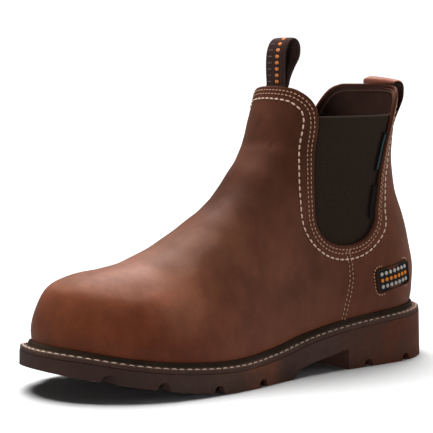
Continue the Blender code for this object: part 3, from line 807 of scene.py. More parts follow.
def contours(values, level):
    """Lines where a closed grid of numbers crosses a level, as lists of rows and columns."""
    rows, columns = values.shape
    above = values > level

    def crossing(edge):
        kind, row, column = edge
        start = values[row, column % columns]
        end = values[row, (column + 1) % columns] if kind == "h" else values[row + 1, column % columns]
        part = (level - start) / (end - start)
        return (row, column + part) if kind == "h" else (row + part, column)

    links = {}
    right = np.roll(above, -1, 1)
    mixed = (above[:-1] != above[1:]) | (above[:-1] != right[:-1]) | (above[:-1] != right[1:])
    for row, column in zip(*np.nonzero(mixed)):
        after = (column + 1) % columns
        corners = (above[row, column], above[row, after], above[row + 1, after], above[row + 1, column])
        edges = (("h", row, column), ("v", row, after), ("h", row + 1, column), ("v", row, column))
        crossed = [edge for place, edge in enumerate(edges) if corners[place] != corners[(place + 1) % 4]]
        for one, other in zip(crossed[::2], crossed[1::2]):
            links.setdefault(one, []).append(other)
            links.setdefault(other, []).append(one)
    lines = []
    while links:
        ends = [edge for edge in links if len(links[edge]) == 1]
        line = [ends[0] if ends else next(iter(links))]
        while links.get(line[-1]):
            following = links[line[-1]].pop()
            links[following].remove(line[-1])
            line.append(following)
        links = {edge: beyond for edge, beyond in links.items() if beyond}
        spots = np.array([crossing(edge) for edge in line])
        spots[:, 1] = np.unwrap(spots[:, 1], period=columns)
        lines.append(spots)
    return lines


def resample(points, step, closed):
    """Row numbers, not all whole, that divide a line of points evenly at about the step."""
    length = np.concatenate([[0], np.cumsum(np.linalg.norm(np.diff(points, axis=0), axis=1))])
    count = max(int(round(length[-1] / step)), 3)
    targets = np.linspace(0, length[-1], count, endpoint=not closed)
    return np.interp(targets, length, np.arange(len(points)))


def take(values, index):
    """Values between the rows of an array, at places that need not be whole."""
    low = np.clip(np.floor(index).astype(int), 0, len(values) - 2)
    part = (index - low)[:, None]
    return values[low] * (1 - part) + values[low + 1] * part


def unit(vectors):
    return vectors / np.maximum(np.linalg.norm(vectors, axis=-1, keepdims=True), 1e-12)


def polygon_distance(points, polygon):
    """Distance from side view points to a polygon, above zero outside it."""
    start = np.asarray(polygon)
    end = np.roll(start, -1, 0)
    near = np.full(len(points), np.inf)
    inside = np.zeros(len(points), bool)
    for (y0, z0), (y1, z1) in zip(start, end):
        along = np.array([y1 - y0, z1 - z0])
        offset = points - (y0, z0)
        part = np.clip(offset @ along / max(along @ along, 1e-18), 0, 1)
        near = np.minimum(near, np.linalg.norm(offset - part[:, None] * along, axis=1))
        if z0 != z1:
            level = (points[:, 1] > min(z0, z1)) & (points[:, 1] <= max(z0, z1))
            reach = y0 + (points[:, 1] - z0) / (z1 - z0) * (y1 - y0)
            inside ^= level & (points[:, 0] < reach)
    return np.where(inside, -near, near)


def opening_polygon(rear_column, grow):
    """Side view of a gore opening up to well above the collar, grown square to its edge."""
    outline = np.array(opening_outline(rear_column, 0.0, OPENING[-1][0]))
    along = np.gradient(outline, axis=0)
    out = unit(np.stack([along[:, 1], -along[:, 0]], -1))
    facing = np.sign(((outline - outline.mean(0)) * out).sum())
    outline = outline + grow * facing * out
    first = (outline[0][0] - CUTTER_SPLAY, OPENING_TOP)
    last = (outline[-1][0] + CUTTER_SPLAY, OPENING_TOP)
    return [first, *map(tuple, outline), last]


def collar_height(y):
    """Height of the collar's plane."""
    part = (y + 2 * SHEET_REACH) / (4 * SHEET_REACH)
    return COLLAR_FRONT_HEIGHT + (COLLAR_BACK_HEIGHT - COLLAR_FRONT_HEIGHT) * part


def inside_leather(points):
    """Side view distance into the leather from the collar and the gore openings."""
    flat = points.reshape(-1, 3)
    outer = polygon_distance(flat[:, 1:], opening_polygon(2, 0.0))
    inner = polygon_distance(flat[:, 1:], opening_polygon(3, 0.0))
    opening = np.where(flat[:, 0] > 0, outer, inner)
    value = np.minimum(opening, collar_height(flat[:, 1]) - flat[:, 2])
    return value.reshape(points.shape[:-1])


def tree_of(points):
    tree = KDTree(len(points))
    for number, point in enumerate(points):
        tree.insert(point, number)
    tree.balance()
    return tree


def tree_distance(tree, points):
    flat = points.reshape(-1, 3)
    return np.array([tree.find(point)[2] for point in flat]).reshape(points.shape[:-1])


def relief(points):
    """How far the leather stands out from the last: the toe cap's step and the soft creases."""
    station = y_to_station(points[..., 1])
    up = points[..., 2] - seat_height(station)
    edge_end, edge_power = TOE_CAP_EDGE
    share = np.clip(up / (edge_end * INSTEP_HEIGHT), 0, 1)
    edge = TOE_CAP_SIDE + (TOE_CAP_TOP - TOE_CAP_SIDE) * share**edge_power
    along = (station - edge) * UPPER_LENGTH / TOE_CAP_SOFT
    size, place, spread = TOE_CAP_LIP
    lip = size * np.exp(-(((along - place) / spread) ** 2))
    rise = TOE_CAP_STEP * (1 / (1 + np.exp(-4 * along)) + lip)
    rise *= np.clip(up / TOE_CAP_FADE, 0, 1)
    middle, width, height = TOE_SHOULDER
    rise += height * np.exp(-(((up - middle) / width) ** 2)) / (1 + np.exp(-3 * along))
    wander, turns = CREASE_WANDER
    ridge, ridge_place = CREASE_RIDGE
    for place, height, lean, reach, depth, width in CREASES:
        drop = height - points[..., 2]
        middle = station_to_y(place) - lean * drop + wander * np.sin(points[..., 0] * turns)
        fade = np.exp(-((drop / reach) ** 2)) * np.exp(-((points[..., 0] / CREASE_REACH) ** 4))
        across = (points[..., 1] - middle) / width
        beside = ridge * np.exp(-((across - ridge_place) ** 2))
        rise += depth * fade * (beside - np.exp(-(across**2)))
    size, along_turns, up_turns = UNEVENNESS
    waves = np.sin(along_turns * points[..., 1] + up_turns * points[..., 2])
    return rise + size * waves * np.sin(up_turns * points[..., 2] + 1.0)


def make_object(name, points, faces, picks=None):
    """Object at the origin with outward faces; picks gives each face's material number."""
    mesh = bpy.data.meshes.new(name)
    mesh.from_pydata([tuple(point) for point in points], [], faces)
    if picks is not None:
        mesh.polygons.foreach_set("material_index", np.asarray(picks, dtype=np.int32))
    body = bmesh.new()
    body.from_mesh(mesh)
    bmesh.ops.recalc_face_normals(body, faces=body.faces)
    body.to_mesh(mesh)
    body.free()
    obj = bpy.data.objects.new(name, mesh)
    bpy.context.scene.collection.objects.link(obj)
    return obj


def shell(name, outer, inner, closed):
    """Solid between two grids of points; the inner grid's faces take the second material."""
    rows, columns = outer.shape[:2]
    count = rows * columns
    points = np.vstack([outer.reshape(-1, 3), inner.reshape(-1, 3)])
    front = grid_faces(rows, columns, 0, closed)
    back = grid_faces(rows, columns, count, closed)
    rim = []
    for row in (0, rows - 1):
        for column in range(columns if closed else columns - 1):
            start = row * columns + column
            end = row * columns + (column + 1) % columns
            rim.append((start, end, end + count, start + count))
    if not closed:
        for column in (0, columns - 1):
            for row in range(rows - 1):
                start = row * columns + column
                rim.append((start, start + columns, start + columns + count, start + count))
    picks = [0] * len(front) + [1] * len(back) + [0] * len(rim)
    return make_object(name, points, front + back + rim, picks)


def clean(obj, *paints):
    """Join doubled points, drop flat and spare leftovers, shade smooth and add the materials."""
    body = bmesh.new()
    body.from_mesh(obj.data)
    bmesh.ops.remove_doubles(body, verts=body.verts, dist=MERGE_DISTANCE)
    bmesh.ops.dissolve_degenerate(body, edges=body.edges, dist=MERGE_DISTANCE)
    spare = [vertex for vertex in body.verts if len(vertex.link_edges) == 2]
    bmesh.ops.dissolve_verts(body, verts=spare)
    bmesh.ops.recalc_face_normals(body, faces=body.faces)
    body.to_mesh(obj.data)
    body.free()
    picks = np.zeros(len(obj.data.polygons), dtype=np.int32)
    obj.data.polygons.foreach_get("material_index", picks)
    obj.data.materials.clear()
    for paint in paints:
        obj.data.materials.append(paint)
    obj.data.polygons.foreach_set("material_index", np.minimum(picks, len(paints) - 1))
    obj.data.shade_smooth()
    obj.data.set_sharp_from_angle(angle=SHARP_ANGLE)
    return obj


def settle(obj, slot, *nodes):
    """Carry a piece on the boot and hide the solids that it stands for; the slot for its finish is not used.
    """
    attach(obj, "root")
    if nodes:
        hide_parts(*nodes)
    return obj


def linear(colour):
    """Linear colour from an sRGB one."""
    parts = np.array(colour) / 255
    return np.where(parts <= 0.04045, parts / 12.92, ((parts + 0.055) / 1.055) ** 2.4)


class Paint:
    """A material under construction: its nodes, their links and its shader."""

    def __init__(self, name, roughness, specular, **sockets):
        self.material = bpy.data.materials.new(name)
        self.material.use_nodes = True
        self.tree = self.material.node_tree
        self.shader = self.tree.nodes["Principled BSDF"]
        self.shader.inputs["Roughness"].default_value = roughness
        self.shader.inputs["Specular IOR Level"].default_value = specular
        for socket, value in sockets.items():
            self.shader.inputs[socket.replace("_", " ")].default_value = value
        self.place = self.add("ShaderNodeTexCoord").outputs["Object"]
        self.bumped = None

    def add(self, kind, inputs=None, **settings):
        node = self.tree.nodes.new(kind)
        for name, value in settings.items():
            setattr(node, name, value)
        for name, value in (inputs or {}).items():
            if isinstance(value, bpy.types.NodeSocket):
                self.tree.links.new(value, node.inputs[name])
            else:
                node.inputs[name].default_value = value
        return node

    def noise(self, scale, detail=3.0, stretch=(1, 1, 1)):
        place = self.add("ShaderNodeMapping", {"Vector": self.place, "Scale": stretch}).outputs["Vector"]
        inputs = {"Vector": place, "Scale": scale, "Detail": detail}
        return self.add("ShaderNodeTexNoise", inputs).outputs["Fac"]

    def cells(self, scale):
        return self.add("ShaderNodeTexVoronoi", {"Vector": self.place, "Scale": scale}).outputs["Distance"]

    def bands(self, scale, direction, distortion):
        settings = {"wave_type": "BANDS", "bands_direction": direction}
        inputs = {"Vector": self.place, "Scale": scale, "Distortion": distortion}
        return self.add("ShaderNodeTexWave", inputs, **settings).outputs["Fac"]

    def spread(self, value, low, high, start=0.3, end=0.7):
        """A value's range from start to end, carried over to low and high."""
        inputs = {"Value": value, "From Min": start, "From Max": end, "To Min": low, "To Max": high}
        return self.add("ShaderNodeMapRange", inputs).outputs["Result"]

    def mix(self, part, first, second, blend="MIX"):
        node = self.add("ShaderNodeMix", data_type="RGBA", blend_type=blend)
        for number, value in ((0, part), (6, first), (7, second)):
            if isinstance(value, bpy.types.NodeSocket):
                self.tree.links.new(value, node.inputs[number])
            elif number == 0:
                node.inputs[0].default_value = value
            else:
                node.inputs[number].default_value = (*linear(value), 1)
        return node.outputs[2]

    def even(self, colour):
        return self.mix(1.0, colour, colour)

    def grey(self, value):
        inputs = {"Red": value, "Green": value, "Blue": value}
        return self.add("ShaderNodeCombineColor", inputs).outputs["Color"]

    def shade(self, colour, value, low, high, start=0.3, end=0.7):
        """A colour made darker and lighter by a value."""
        return self.mix(1.0, colour, self.grey(self.spread(value, low, high, start, end)), "MULTIPLY")

    def grain(self, colour, shades, bumps):
        """A colour shaded by several values in turn, on a surface roughened by others."""
        for value, low, high in shades:
            colour = self.shade(colour, value, low, high)
        for value, strength, distance in bumps:
            inputs = {"Height": value, "Strength": strength, "Distance": distance}
            if self.bumped:
                inputs["Normal"] = self.bumped
            self.bumped = self.add("ShaderNodeBump", inputs).outputs["Normal"]
        return colour

    def tone(self):
        """The colour that the mesh itself carries."""
        return self.add("ShaderNodeAttribute", attribute_name="tone").outputs["Color"]

    def height(self):
        return self.add("ShaderNodeSeparateXYZ", {"Vector": self.place}).outputs["Z"]

    def done(self, colour, roughness=None):
        links = self.tree.links
        links.new(colour, self.shader.inputs["Base Color"])
        if roughness is not None:
            links.new(roughness, self.shader.inputs["Roughness"])
        if self.bumped:
            links.new(self.bumped, self.shader.inputs["Normal"])
        return self.material


def leather_paint(name, colour=None):
    """Waxed leather: its tone is the mesh's own where no colour is given."""
    coat = {"Coat_Weight": 0.03, "Coat_Roughness": 0.35, "Sheen_Weight": 0.04, "Sheen_Roughness": 0.45}
    paint = Paint(name, 0.5, 0.17, **coat)
    paint.shader.inputs["Sheen Tint"].default_value = (1.0, 0.72, 0.62, 1)
    clouds = paint.noise(24, 6)
    blotches = paint.noise(95, 5, (1.0, 1.3, 0.8))
    wrinkles = paint.noise(70, 4, (1.0, 1.6, 0.6))
    shades = ((clouds, 0.76, 1.24), (blotches, 0.90, 1.12), (paint.noise(900, 2), 0.93, 1.07))
    fine = ((paint.noise(380, 3), 0.30, 0.00016), (paint.cells(1050), 0.35, 0.00012))
    base = paint.tone() if colour is None else paint.even(colour)
    tone = paint.grain(base, shades, ((wrinkles, 0.35, 0.0006), *fine))
    return paint.done(tone, paint.spread(clouds, 0.58, 0.44))


def rubber_paint():
    """Rubber with darker patches, darkest along its lower edge."""
    paint = Paint("sole rubber", 0.6, 0.22)
    patches = paint.noise(16, 3, (1.0, 0.6, 1.4))
    shades = ((paint.noise(240, 4), 0.88, 1.12), (patches, 0.85, 1.15))
    bumps = ((paint.noise(60, 3), 0.3, 0.0005), (paint.noise(1200, 2), 0.35, 0.00008))
    tone = paint.grain(paint.tone(), shades, bumps)
    worn = paint.spread(paint.noise(42, 4, (1.0, 1.0, 1.5)), 0.0, 0.45, 0.50, 0.62)
    tone = paint.mix(worn, tone, RUBBER_DARK)
    tone = paint.shade(tone, paint.height(), 0.78, 1.0, 0.0, 0.010)
    return paint.done(tone, paint.spread(patches, 0.68, 0.52))


def welt_paint():
    paint = Paint("welt leather", 0.62, 0.25)
    shades = ((paint.noise(40, 4), 0.8, 1.15), (paint.noise(500, 3), 0.85, 1.15))
    bumps = ((paint.noise(900, 3), 0.4, 0.00010), (paint.noise(160, 3), 0.3, 0.0003))
    return paint.done(paint.grain(paint.tone(), shades, bumps))


def elastic_paint():
    """Elastic cloth with faint level bands and a lighter hem at its top."""
    paint = Paint("gore elastic", 0.85, 0.12)
    hem = paint.spread(paint.height(), 0.0, 1.0, GORE_TOP - 0.0012, GORE_TOP - 0.0009)
    shades = ((paint.noise(700, 3), 0.85, 1.15), (paint.bands(150, "Z", 0.6), 0.96, 1.03))
    bumps = ((paint.bands(300, "Z", 0.8), 0.15, 0.00010), (paint.noise(2400, 2), 0.3, 0.00006))
    return paint.done(paint.grain(paint.mix(hem, ELASTIC, ELASTIC_HEM), shades, bumps))


def webbing_paint():
    paint = Paint("webbing", 0.75, 0.18)
    shades = ((paint.bands(120, "X", 0.4), 0.75, 1.15), (paint.noise(800, 3), 0.85, 1.2))
    bumps = ((paint.bands(190, "X", 0.6), 0.5, 0.00018), (paint.noise(1500, 2), 0.3, 0.00008))
    return paint.done(paint.grain(paint.even(WEBBING), shades, bumps))


def lining_paint():
    paint = Paint("lining", 0.45, 0.20)
    bumps = ((paint.noise(140, 3), 0.3, 0.0004), (paint.noise(1100, 2), 0.3, 0.00008))
    return paint.done(paint.grain(paint.even(LINING), ((paint.noise(60, 4), 0.8, 1.2),), bumps))


def plain_paint(name, colour, roughness, specular, scale, depth, low, high):
    """Even colour with fine grain: thread, rubber patch, studs, tabs and sock."""
    paint = Paint(name, roughness, specular)
    bumps = ((paint.noise(scale * 1.6, 2), 0.4, depth),)
    return paint.done(paint.grain(paint.even(colour), ((paint.noise(scale, 3), low, high),), bumps))


def make_paints():
    paints = {
        "leather": leather_paint("upper leather"),
        "strap": leather_paint("strap leather", STRAP_TONE_AND_HIGHLIGHT),
        "edge": leather_paint("edge leather", LEATHER_EDGE),
        "lining": lining_paint(),
        "rubber": rubber_paint(),
        "welt": welt_paint(),
        "elastic": elastic_paint(),
        "webbing": webbing_paint(),
    }
    for name, *values in PLAIN_FINISHES:
        paints[name] = plain_paint(name, *values)
    return paints


def vertex_vectors(mesh, kind):
    """Places or normals of a mesh's points."""
    values = np.zeros(len(mesh.vertices) * 3)
    mesh.vertices.foreach_get(kind, values)
    return values.reshape(-1, 3)


def write_tone(mesh, tone):
    attribute = mesh.color_attributes.new("tone", "FLOAT_COLOR", "POINT")
    attribute.data.foreach_set("color", np.hstack([tone, np.ones((len(tone), 1))]).ravel())


def set_tone(obj, base, tones, wear=(), bloom_and_highlight=0.0):
    """Colour a mesh by region, lighten its upward faces with wax bloom and painted highlight where asked,
    then blend in the tones beside its edges and seams.
    """
    points = vertex_vectors(obj.data, "co")
    total = np.full(len(points), BASE_TONE_WEIGHT)
    tone = total[:, None] * linear(base)
    for y, z, reach, colour in tones:
        weight = np.exp(-((points[:, 1] - y) ** 2 + (points[:, 2] - z) ** 2) / reach**2)
        total += weight
        tone = tone + weight[:, None] * linear(colour)
    tone = tone / total[:, None]
    # painted highlight, partly wax bloom: upward faces below a height are lightened towards a pale colour
    if bloom_and_highlight:
        slope = vertex_vectors(obj.data, "normal")[:, 2]
        size, across, along = BLOOM_AND_HIGHLIGHT_WAVER
        slope = slope + size * np.sin(across * points[:, 0]) * np.sin(along * points[:, 1])
        part = bloom_and_highlight / (1 + np.exp((BLOOM_AND_HIGHLIGHT_SLOPE[0] - slope) / BLOOM_AND_HIGHLIGHT_SLOPE[1] * 2))
        part = part / (1 + np.exp((points[:, 2] - BLOOM_AND_HIGHLIGHT_TOP[0]) / BLOOM_AND_HIGHLIGHT_TOP[1]))
        tone = tone + part[:, None] * (linear(BLOOM_AND_HIGHLIGHT_COLOUR) - tone)
    for tree, reach, strength, colour in wear:
        part = strength * np.exp(-((tree_distance(tree, points) / reach) ** 2))[:, None]
        tone = tone * (1 - part) + part * linear(colour)
    write_tone(obj.data, tone)


def gather(spots):
    """Pairs of point and normal as an array of points and an array of normals."""
    return tuple(np.array(part) for part in zip(*spots))


class Leather:
    """The upper's outer face: a closed grid of points, its relief, and how far each is from the edge."""

    def __init__(self):
        turns = GRID_START + np.arange(GRID_COLUMNS) * 2 * math.pi / GRID_COLUMNS
        self.points = surface(turns, np.linspace(0, 1, GRID_ROWS))
        self.normals = grid_normals(self.points, True)
        self.dressed = self.points + relief(self.points)[..., None] * self.normals
        faces = grid_faces(GRID_ROWS, GRID_COLUMNS, 0, True)
        corners = [tuple(point) for point in self.dressed.reshape(-1, 3)]
        self.tree = BVHTree.FromPolygons(corners, faces)
        signed = inside_leather(self.points)
        edge = on_grid(self.points, contours(signed, 0.0)[0])
        self.edge_tree = tree_of(take(edge, resample(edge, SEAM_STEP, False)))
        self.edge_distance = np.sign(signed) * tree_distance(self.edge_tree, self.points)

    def line(self, values, level, depth=0):
        """The longest line at a level of some values: its points, at a depth in the leather, and normals."""
        spots = max(contours(values, level), key=len)[:-1]
        normal = unit(on_grid(self.normals, spots))
        return on_grid(self.points if depth else self.dressed, spots) - depth * normal, normal

    def stitch_line(self, column):
        """Line at the distance from the edge that the tables of stitch rows give."""
        height = self.points[..., 2]
        behind = np.clip((self.points[..., 1] - ROWS_MEET[0]) / (ROWS_MEET[1] - ROWS_MEET[0]), 0, 1)
        ahead = smooth(FRONT_ROWS, column, height)
        gap = ahead + (smooth(REAR_ROWS, column, height) - ahead) * behind
        return self.line(self.edge_distance - gap, 0.0)

    def spot(self, start, direction):
        """Point and outward normal where a ray from outside meets the leather."""
        location, normal, _, _ = self.tree.ray_cast(Vector(start), Vector(direction))
        normal = np.array(normal)
        return np.array(location), -normal * np.sign(normal @ np.array(direction))

    def side_spot(self, y, z, side=1):
        """Point and outward normal at a place in side view, on the outer or inner side."""
        return self.spot((side * RAY_START, y, z), (-side, 0, 0))


def side_seams(leather):
    """Two rows down each side, from the gore to the welt."""
    rows = np.array(SIDE_SEAM)
    shift = unit(np.stack([np.gradient(rows[:, 1]), -np.gradient(rows[:, 0])], -1))
    seams = []
    for side in (1, -1):
        for spread in (-SIDE_SEAM_SPREAD, SIDE_SEAM_SPREAD):
            places = take(rows + spread * shift, np.linspace(0, len(rows) - 1, SIDE_SEAM_STEPS))
            seams.append(gather(leather.side_spot(y, z, side) for y, z in places))
    return seams


def back_seams(leather):
    """Two rows down the back."""
    heights = np.linspace(*BACK_SEAM_HEIGHTS, BACK_SEAM_STEPS)
    spreads = (-BACK_SEAM_SPREAD, BACK_SEAM_SPREAD)
    return [gather(leather.spot((x, RAY_START, z), (0, -1, 0)) for z in heights) for x in spreads]


def refine(obj, tree):
    """Split the faces near the seams, then press a small groove along each row of stitches."""
    body = bmesh.new()
    body.from_mesh(obj.data)
    near = set()
    for edge in body.edges:
        middle = (edge.verts[0].co + edge.verts[1].co) / 2
        if edge.calc_length() > REFINE_LENGTH and tree.find(middle)[2] < REFINE_REACH:
            near.add(edge)
    bmesh.ops.subdivide_edges(body, edges=list(near), cuts=2, use_grid_fill=True)
    body.normal_update()
    for vertex in body.verts:
        distance = tree.find(vertex.co)[2]
        if distance < 3 * STITCH_GROOVE_WIDTH:
            vertex.co -= vertex.normal * STITCH_GROOVE * math.exp(-((distance / STITCH_GROOVE_WIDTH) ** 2))
    bmesh.ops.triangulate(body, faces=[face for face in body.faces if len(face.verts) > 4])
    body.to_mesh(obj.data)
    body.free()


def stitches(name, rows, size, paint):
    """Small arched threads along rows of points, tangents and normals."""
    length, width, height = size
    middle_rise, end_fall = STITCH_ARCH
    along = np.linspace(-1, 1, STITCH_RINGS)
    girth = np.sqrt(np.clip(1 - np.abs(along) ** 3, 0.02, 1))
    shape = []
    for place, girth_here in zip(along, girth):
        lift = height * (middle_rise - end_fall * place**4)
        for angle in np.arange(STITCH_SIDES) * 2 * math.pi / STITCH_SIDES:
            across = math.cos(angle) * width / 2 * girth_here
            shape.append((place * length / 2, across, lift + math.sin(angle) * height / 2 * girth_here))
    shape = np.array(shape)
    faces = grid_faces(STITCH_RINGS, STITCH_SIDES, 0, True)
    faces += [tuple(range(STITCH_SIDES))[::-1], tuple(range(len(shape) - STITCH_SIDES, len(shape)))]
    points = []
    all_faces = []
    for centres, tangents, normals in rows:
        sides = unit(np.cross(normals, tangents))
        for centre, tangent, side, normal in zip(centres, tangents, sides, normals):
            first = len(points) * len(shape)
            points.append(centre + shape[:, :1] * tangent + shape[:, 1:2] * side + shape[:, 2:] * normal)
            all_faces += [tuple(index + first for index in face) for face in faces]
    return clean(make_object(name, np.vstack(points), all_faces), paint)


def row_of(points, normals, pitch, closed):
    """Stitch places along a line: centres, directions and outward normals."""
    if closed:
        points = np.vstack([points, points[:1]])
        normals = np.vstack([normals, normals[:1]])
    index = resample(points, pitch, closed)
    centres = take(points, index)
    ahead = take(points, np.clip(index + 0.5, 0, len(points) - 1))
    behind = take(points, np.clip(index - 0.5, 0, len(points) - 1))
    return centres, unit(ahead - behind), unit(take(normals, index))


def make_threads(name, lines, size, paint, closed=True, slot="upper_leather"):
    """Stitches along several lines of points and normals."""
    pitch, *measures = size
    rows = [row_of(points, normals, pitch, closed) for points, normals in lines]
    settle(stitches(name, rows, measures, paint), slot)


def tube(name, points, normals, radius, sides, paint):
    """Closed round band along a closed line of points."""
    along = unit(np.roll(points, -1, 0) - np.roll(points, 1, 0))
    across = unit(np.cross(normals, along))
    rings = []
    for angle in np.arange(sides) * 2 * math.pi / sides:
        rings.append(points + radius * (math.cos(angle) * normals + math.sin(angle) * across))
    return clean(ring_sweep(name, rings), paint)


def studs(name, places, profile, paint):
    """Studs closed at both ends, each from its point, its two half widths and its rise as vectors."""
    points = []
    faces = []
    for spot, one, other, rise in places:
        first = len(points)
        for share, lift in profile:
            for angle in np.arange(STUD_SIDES) * 2 * math.pi / STUD_SIDES:
                points.append(spot + share * (math.cos(angle) * one + math.sin(angle) * other) + lift * rise)
        faces += grid_faces(len(profile), STUD_SIDES, first, True)
        faces.append(tuple(range(first, first + STUD_SIDES)))
        faces.append(tuple(range(len(points) - STUD_SIDES, len(points))))
    return clean(make_object(name, points, faces), paint)


def strap(name, path, facing, width, thickness, place, fine, ripple, *paints):
    """Strap along a side view path, with rounded edges and ribs across it."""
    inwards = 1 if facing == 0 else -1
    top = COLLAR_FRONT_HEIGHT if facing == 0 else COLLAR_BACK_HEIGHT
    columns = collar_wall(facing)
    table = [(number, *row) for number, row in enumerate(path)]
    places = np.linspace(0, len(path) - 1, fine)
    heights, behinds, follows = (smooth(table, column, places) for column in (1, 2, 3))
    across = np.sin(np.linspace(-math.pi / 2, math.pi / 2, STRAP_COLUMNS))
    shift, dip = place
    leans = dip * np.sin(np.linspace(0, math.pi, fine))
    centre = []
    for height, behind, follow, lean in zip(heights, behinds, follows, leans):
        x = shift + across * width / 2
        wall = np.array([wall_y(columns, value * follow, min(height, top)) for value in x])
        centre.append(np.stack([x, wall + inwards * behind, height - lean * (x - shift)], -1))
    centre = np.array(centre)
    spine = centre[:, STRAP_COLUMNS // 2]
    along = np.gradient(spine, axis=0)
    travelled = np.concatenate([[0], np.cumsum(np.linalg.norm(np.diff(spine, axis=0), axis=1))])
    normal = unit(np.stack([0 * along[:, 0], -along[:, 2], along[:, 1]], -1))
    ribs = ripple[0] * np.cos(2 * math.pi * travelled / ripple[1])[:, None]
    half = (thickness / 2 + ribs) * np.sqrt(np.clip(1 - np.abs(across) ** 8, 0, 1))
    lift = normal[:, None] * half[..., None]
    obj = shell(name, centre + lift, centre - lift, False)
    return clean(obj, *paints), centre, normal, travelled


def make_camera():
    data = bpy.data.cameras.new("camera")
    data.lens = CAMERA_LENS
    data.sensor_width = CAMERA_SENSOR
    data.clip_start = 0.05
    data.clip_end = 50
    camera = bpy.data.objects.new("camera", data)
    bpy.context.scene.collection.objects.link(camera)
    bearing = CAMERA_AZIMUTH + CAMERA_PAN
    level = math.cos(CAMERA_PITCH)
    forward = Vector((-math.sin(bearing) * level, math.cos(bearing) * level, -math.sin(CAMERA_PITCH)))
    right = Vector((math.cos(bearing), math.sin(bearing), 0))
    up = right.cross(forward)
    turned_right = right * math.cos(CAMERA_ROLL) + up * math.sin(CAMERA_ROLL)
    turned_up = up * math.cos(CAMERA_ROLL) - right * math.sin(CAMERA_ROLL)
    turn = Matrix((turned_right, turned_up, -forward)).transposed().to_4x4()
    back = Vector((math.sin(CAMERA_AZIMUTH), -math.cos(CAMERA_AZIMUTH), 0)) * CAMERA_REACH
    place = Vector(CAMERA_TARGET) + back + Vector((0, 0, CAMERA_HEIGHT))
    camera.matrix_world = Matrix.Translation(place) @ turn
    bpy.context.scene.camera = camera


def make_sun(name, direction, angle, strength, glossy):
    data = bpy.data.lights.new(name, "SUN")
    data.angle = math.radians(angle)
    data.energy = strength
    light = bpy.data.objects.new(name, data)
    light.location = direction
    light.visible_glossy = glossy
    light.rotation_mode = "QUATERNION"
    light.rotation_quaternion = (-Vector(direction)).to_track_quat("-Z", "Y")
    bpy.context.scene.collection.objects.link(light)


def make_world():
    """White surround that looks bright and lights the boot only a little."""
    world = bpy.data.worlds.new("surround")
    world.use_nodes = True
    nodes = world.node_tree.nodes
    links = world.node_tree.links
    mix = nodes.new("ShaderNodeMixShader")
    links.new(nodes.new("ShaderNodeLightPath").outputs["Is Camera Ray"], mix.inputs["Fac"])
    for number, strength in ((1, WORLD_LIGHT), (2, WORLD_SEEN)):
        background = nodes.new("ShaderNodeBackground")
        background.inputs["Color"].default_value = (1, 1, 1, 1)
        background.inputs["Strength"].default_value = strength
        links.new(background.outputs["Background"], mix.inputs[number])
    links.new(mix.outputs["Shader"], nodes["World Output"].inputs["Surface"])
    bpy.context.scene.world = world


def make_studio():
    """Plain white floor, white surround and soft suns."""
    bpy.context.scene.view_settings.view_transform = "Standard"
    make_world()
    reach = FLOOR_REACH
    corners = [(-reach, -reach, 0), (reach, -reach, 0), (reach, reach, 0), (-reach, reach, 0)]
    floor = make_object("studio_floor", corners, [(0, 1, 2, 3)])
    paint = Paint("floor white", 0.9, 0.1)
    seen = paint.add("ShaderNodeLightPath").outputs["Is Camera Ray"]
    white = paint.grey(paint.spread(seen, FLOOR_BOUNCE, FLOOR_SEEN, 0, 1))
    floor.data.materials.append(paint.done(white))
    for sun in SUNS:
        make_sun(*sun)


def make_upper(leather, seam_tree, paints):
    """High resolution leather wall with its collar and openings, lined inside."""
    outer = leather.dressed
    inner = leather.points - WALL * leather.normals
    inner[0] = ring_offset(leather.points[0], -WALL)
    low_outer = outer[0].copy()
    low_inner = inner[0].copy()
    low_outer[:, 2] -= WELT_THICKNESS
    low_inner[:, 2] -= WELT_THICKNESS
    obj = shell("boot_upper", np.vstack([low_outer[None], outer]), np.vstack([low_inner[None], inner]), True)
    front, back = (sign * 2 * SHEET_REACH for sign in (-1, 1))
    over = 2 * SHAFT_HEIGHT
    above = [(front, COLLAR_FRONT_HEIGHT - ROLL_INSET), (back, COLLAR_BACK_HEIGHT - ROLL_INSET)]
    above += [(back, over), (front, over)]
    combine(obj, side_prism("collar", above, -SHEET_REACH, SHEET_REACH), "DIFFERENCE")
    for rear_column, start, end in ((2, MIDDLE_BAND, SHEET_REACH), (3, -SHEET_REACH, -MIDDLE_BAND)):
        outline = opening_polygon(rear_column, ROLL_INSET)
        combine(obj, side_prism("opening", outline, start, end), "DIFFERENCE")
    refine(obj, seam_tree)
    clean(obj, paints["leather"], paints["lining"])
    wear = ((leather.edge_tree, 0.0024, 0.35, LEATHER_EDGE), (seam_tree, 0.0006, 0.75, LEATHER_SEAM))
    set_tone(obj, LEATHER_BASE, LEATHER_TONES_AND_PAINTED_LIGHT, wear, BLOOM_AND_HIGHLIGHT_STRENGTH)
    settle(obj, "upper_leather", "upper")


def make_edges(leather, paints):
    """Rolled edge round the collar and openings, and the binding line inside."""
    line, normal = leather.line(leather.edge_distance, ROLL_INSET, WALL / 2)
    settle(tube("rolled_edge", line, normal, ROLL_RADIUS, 12, paints["edge"]), "upper_leather")
    line, normal = leather.line(leather.edge_distance, LINING_LINE_INSET, WALL)
    binding = tube("lining_binding", line, normal, LINING_LINE_RADIUS, 6, paints["lining binding"])
    settle(binding, "sock_lining")


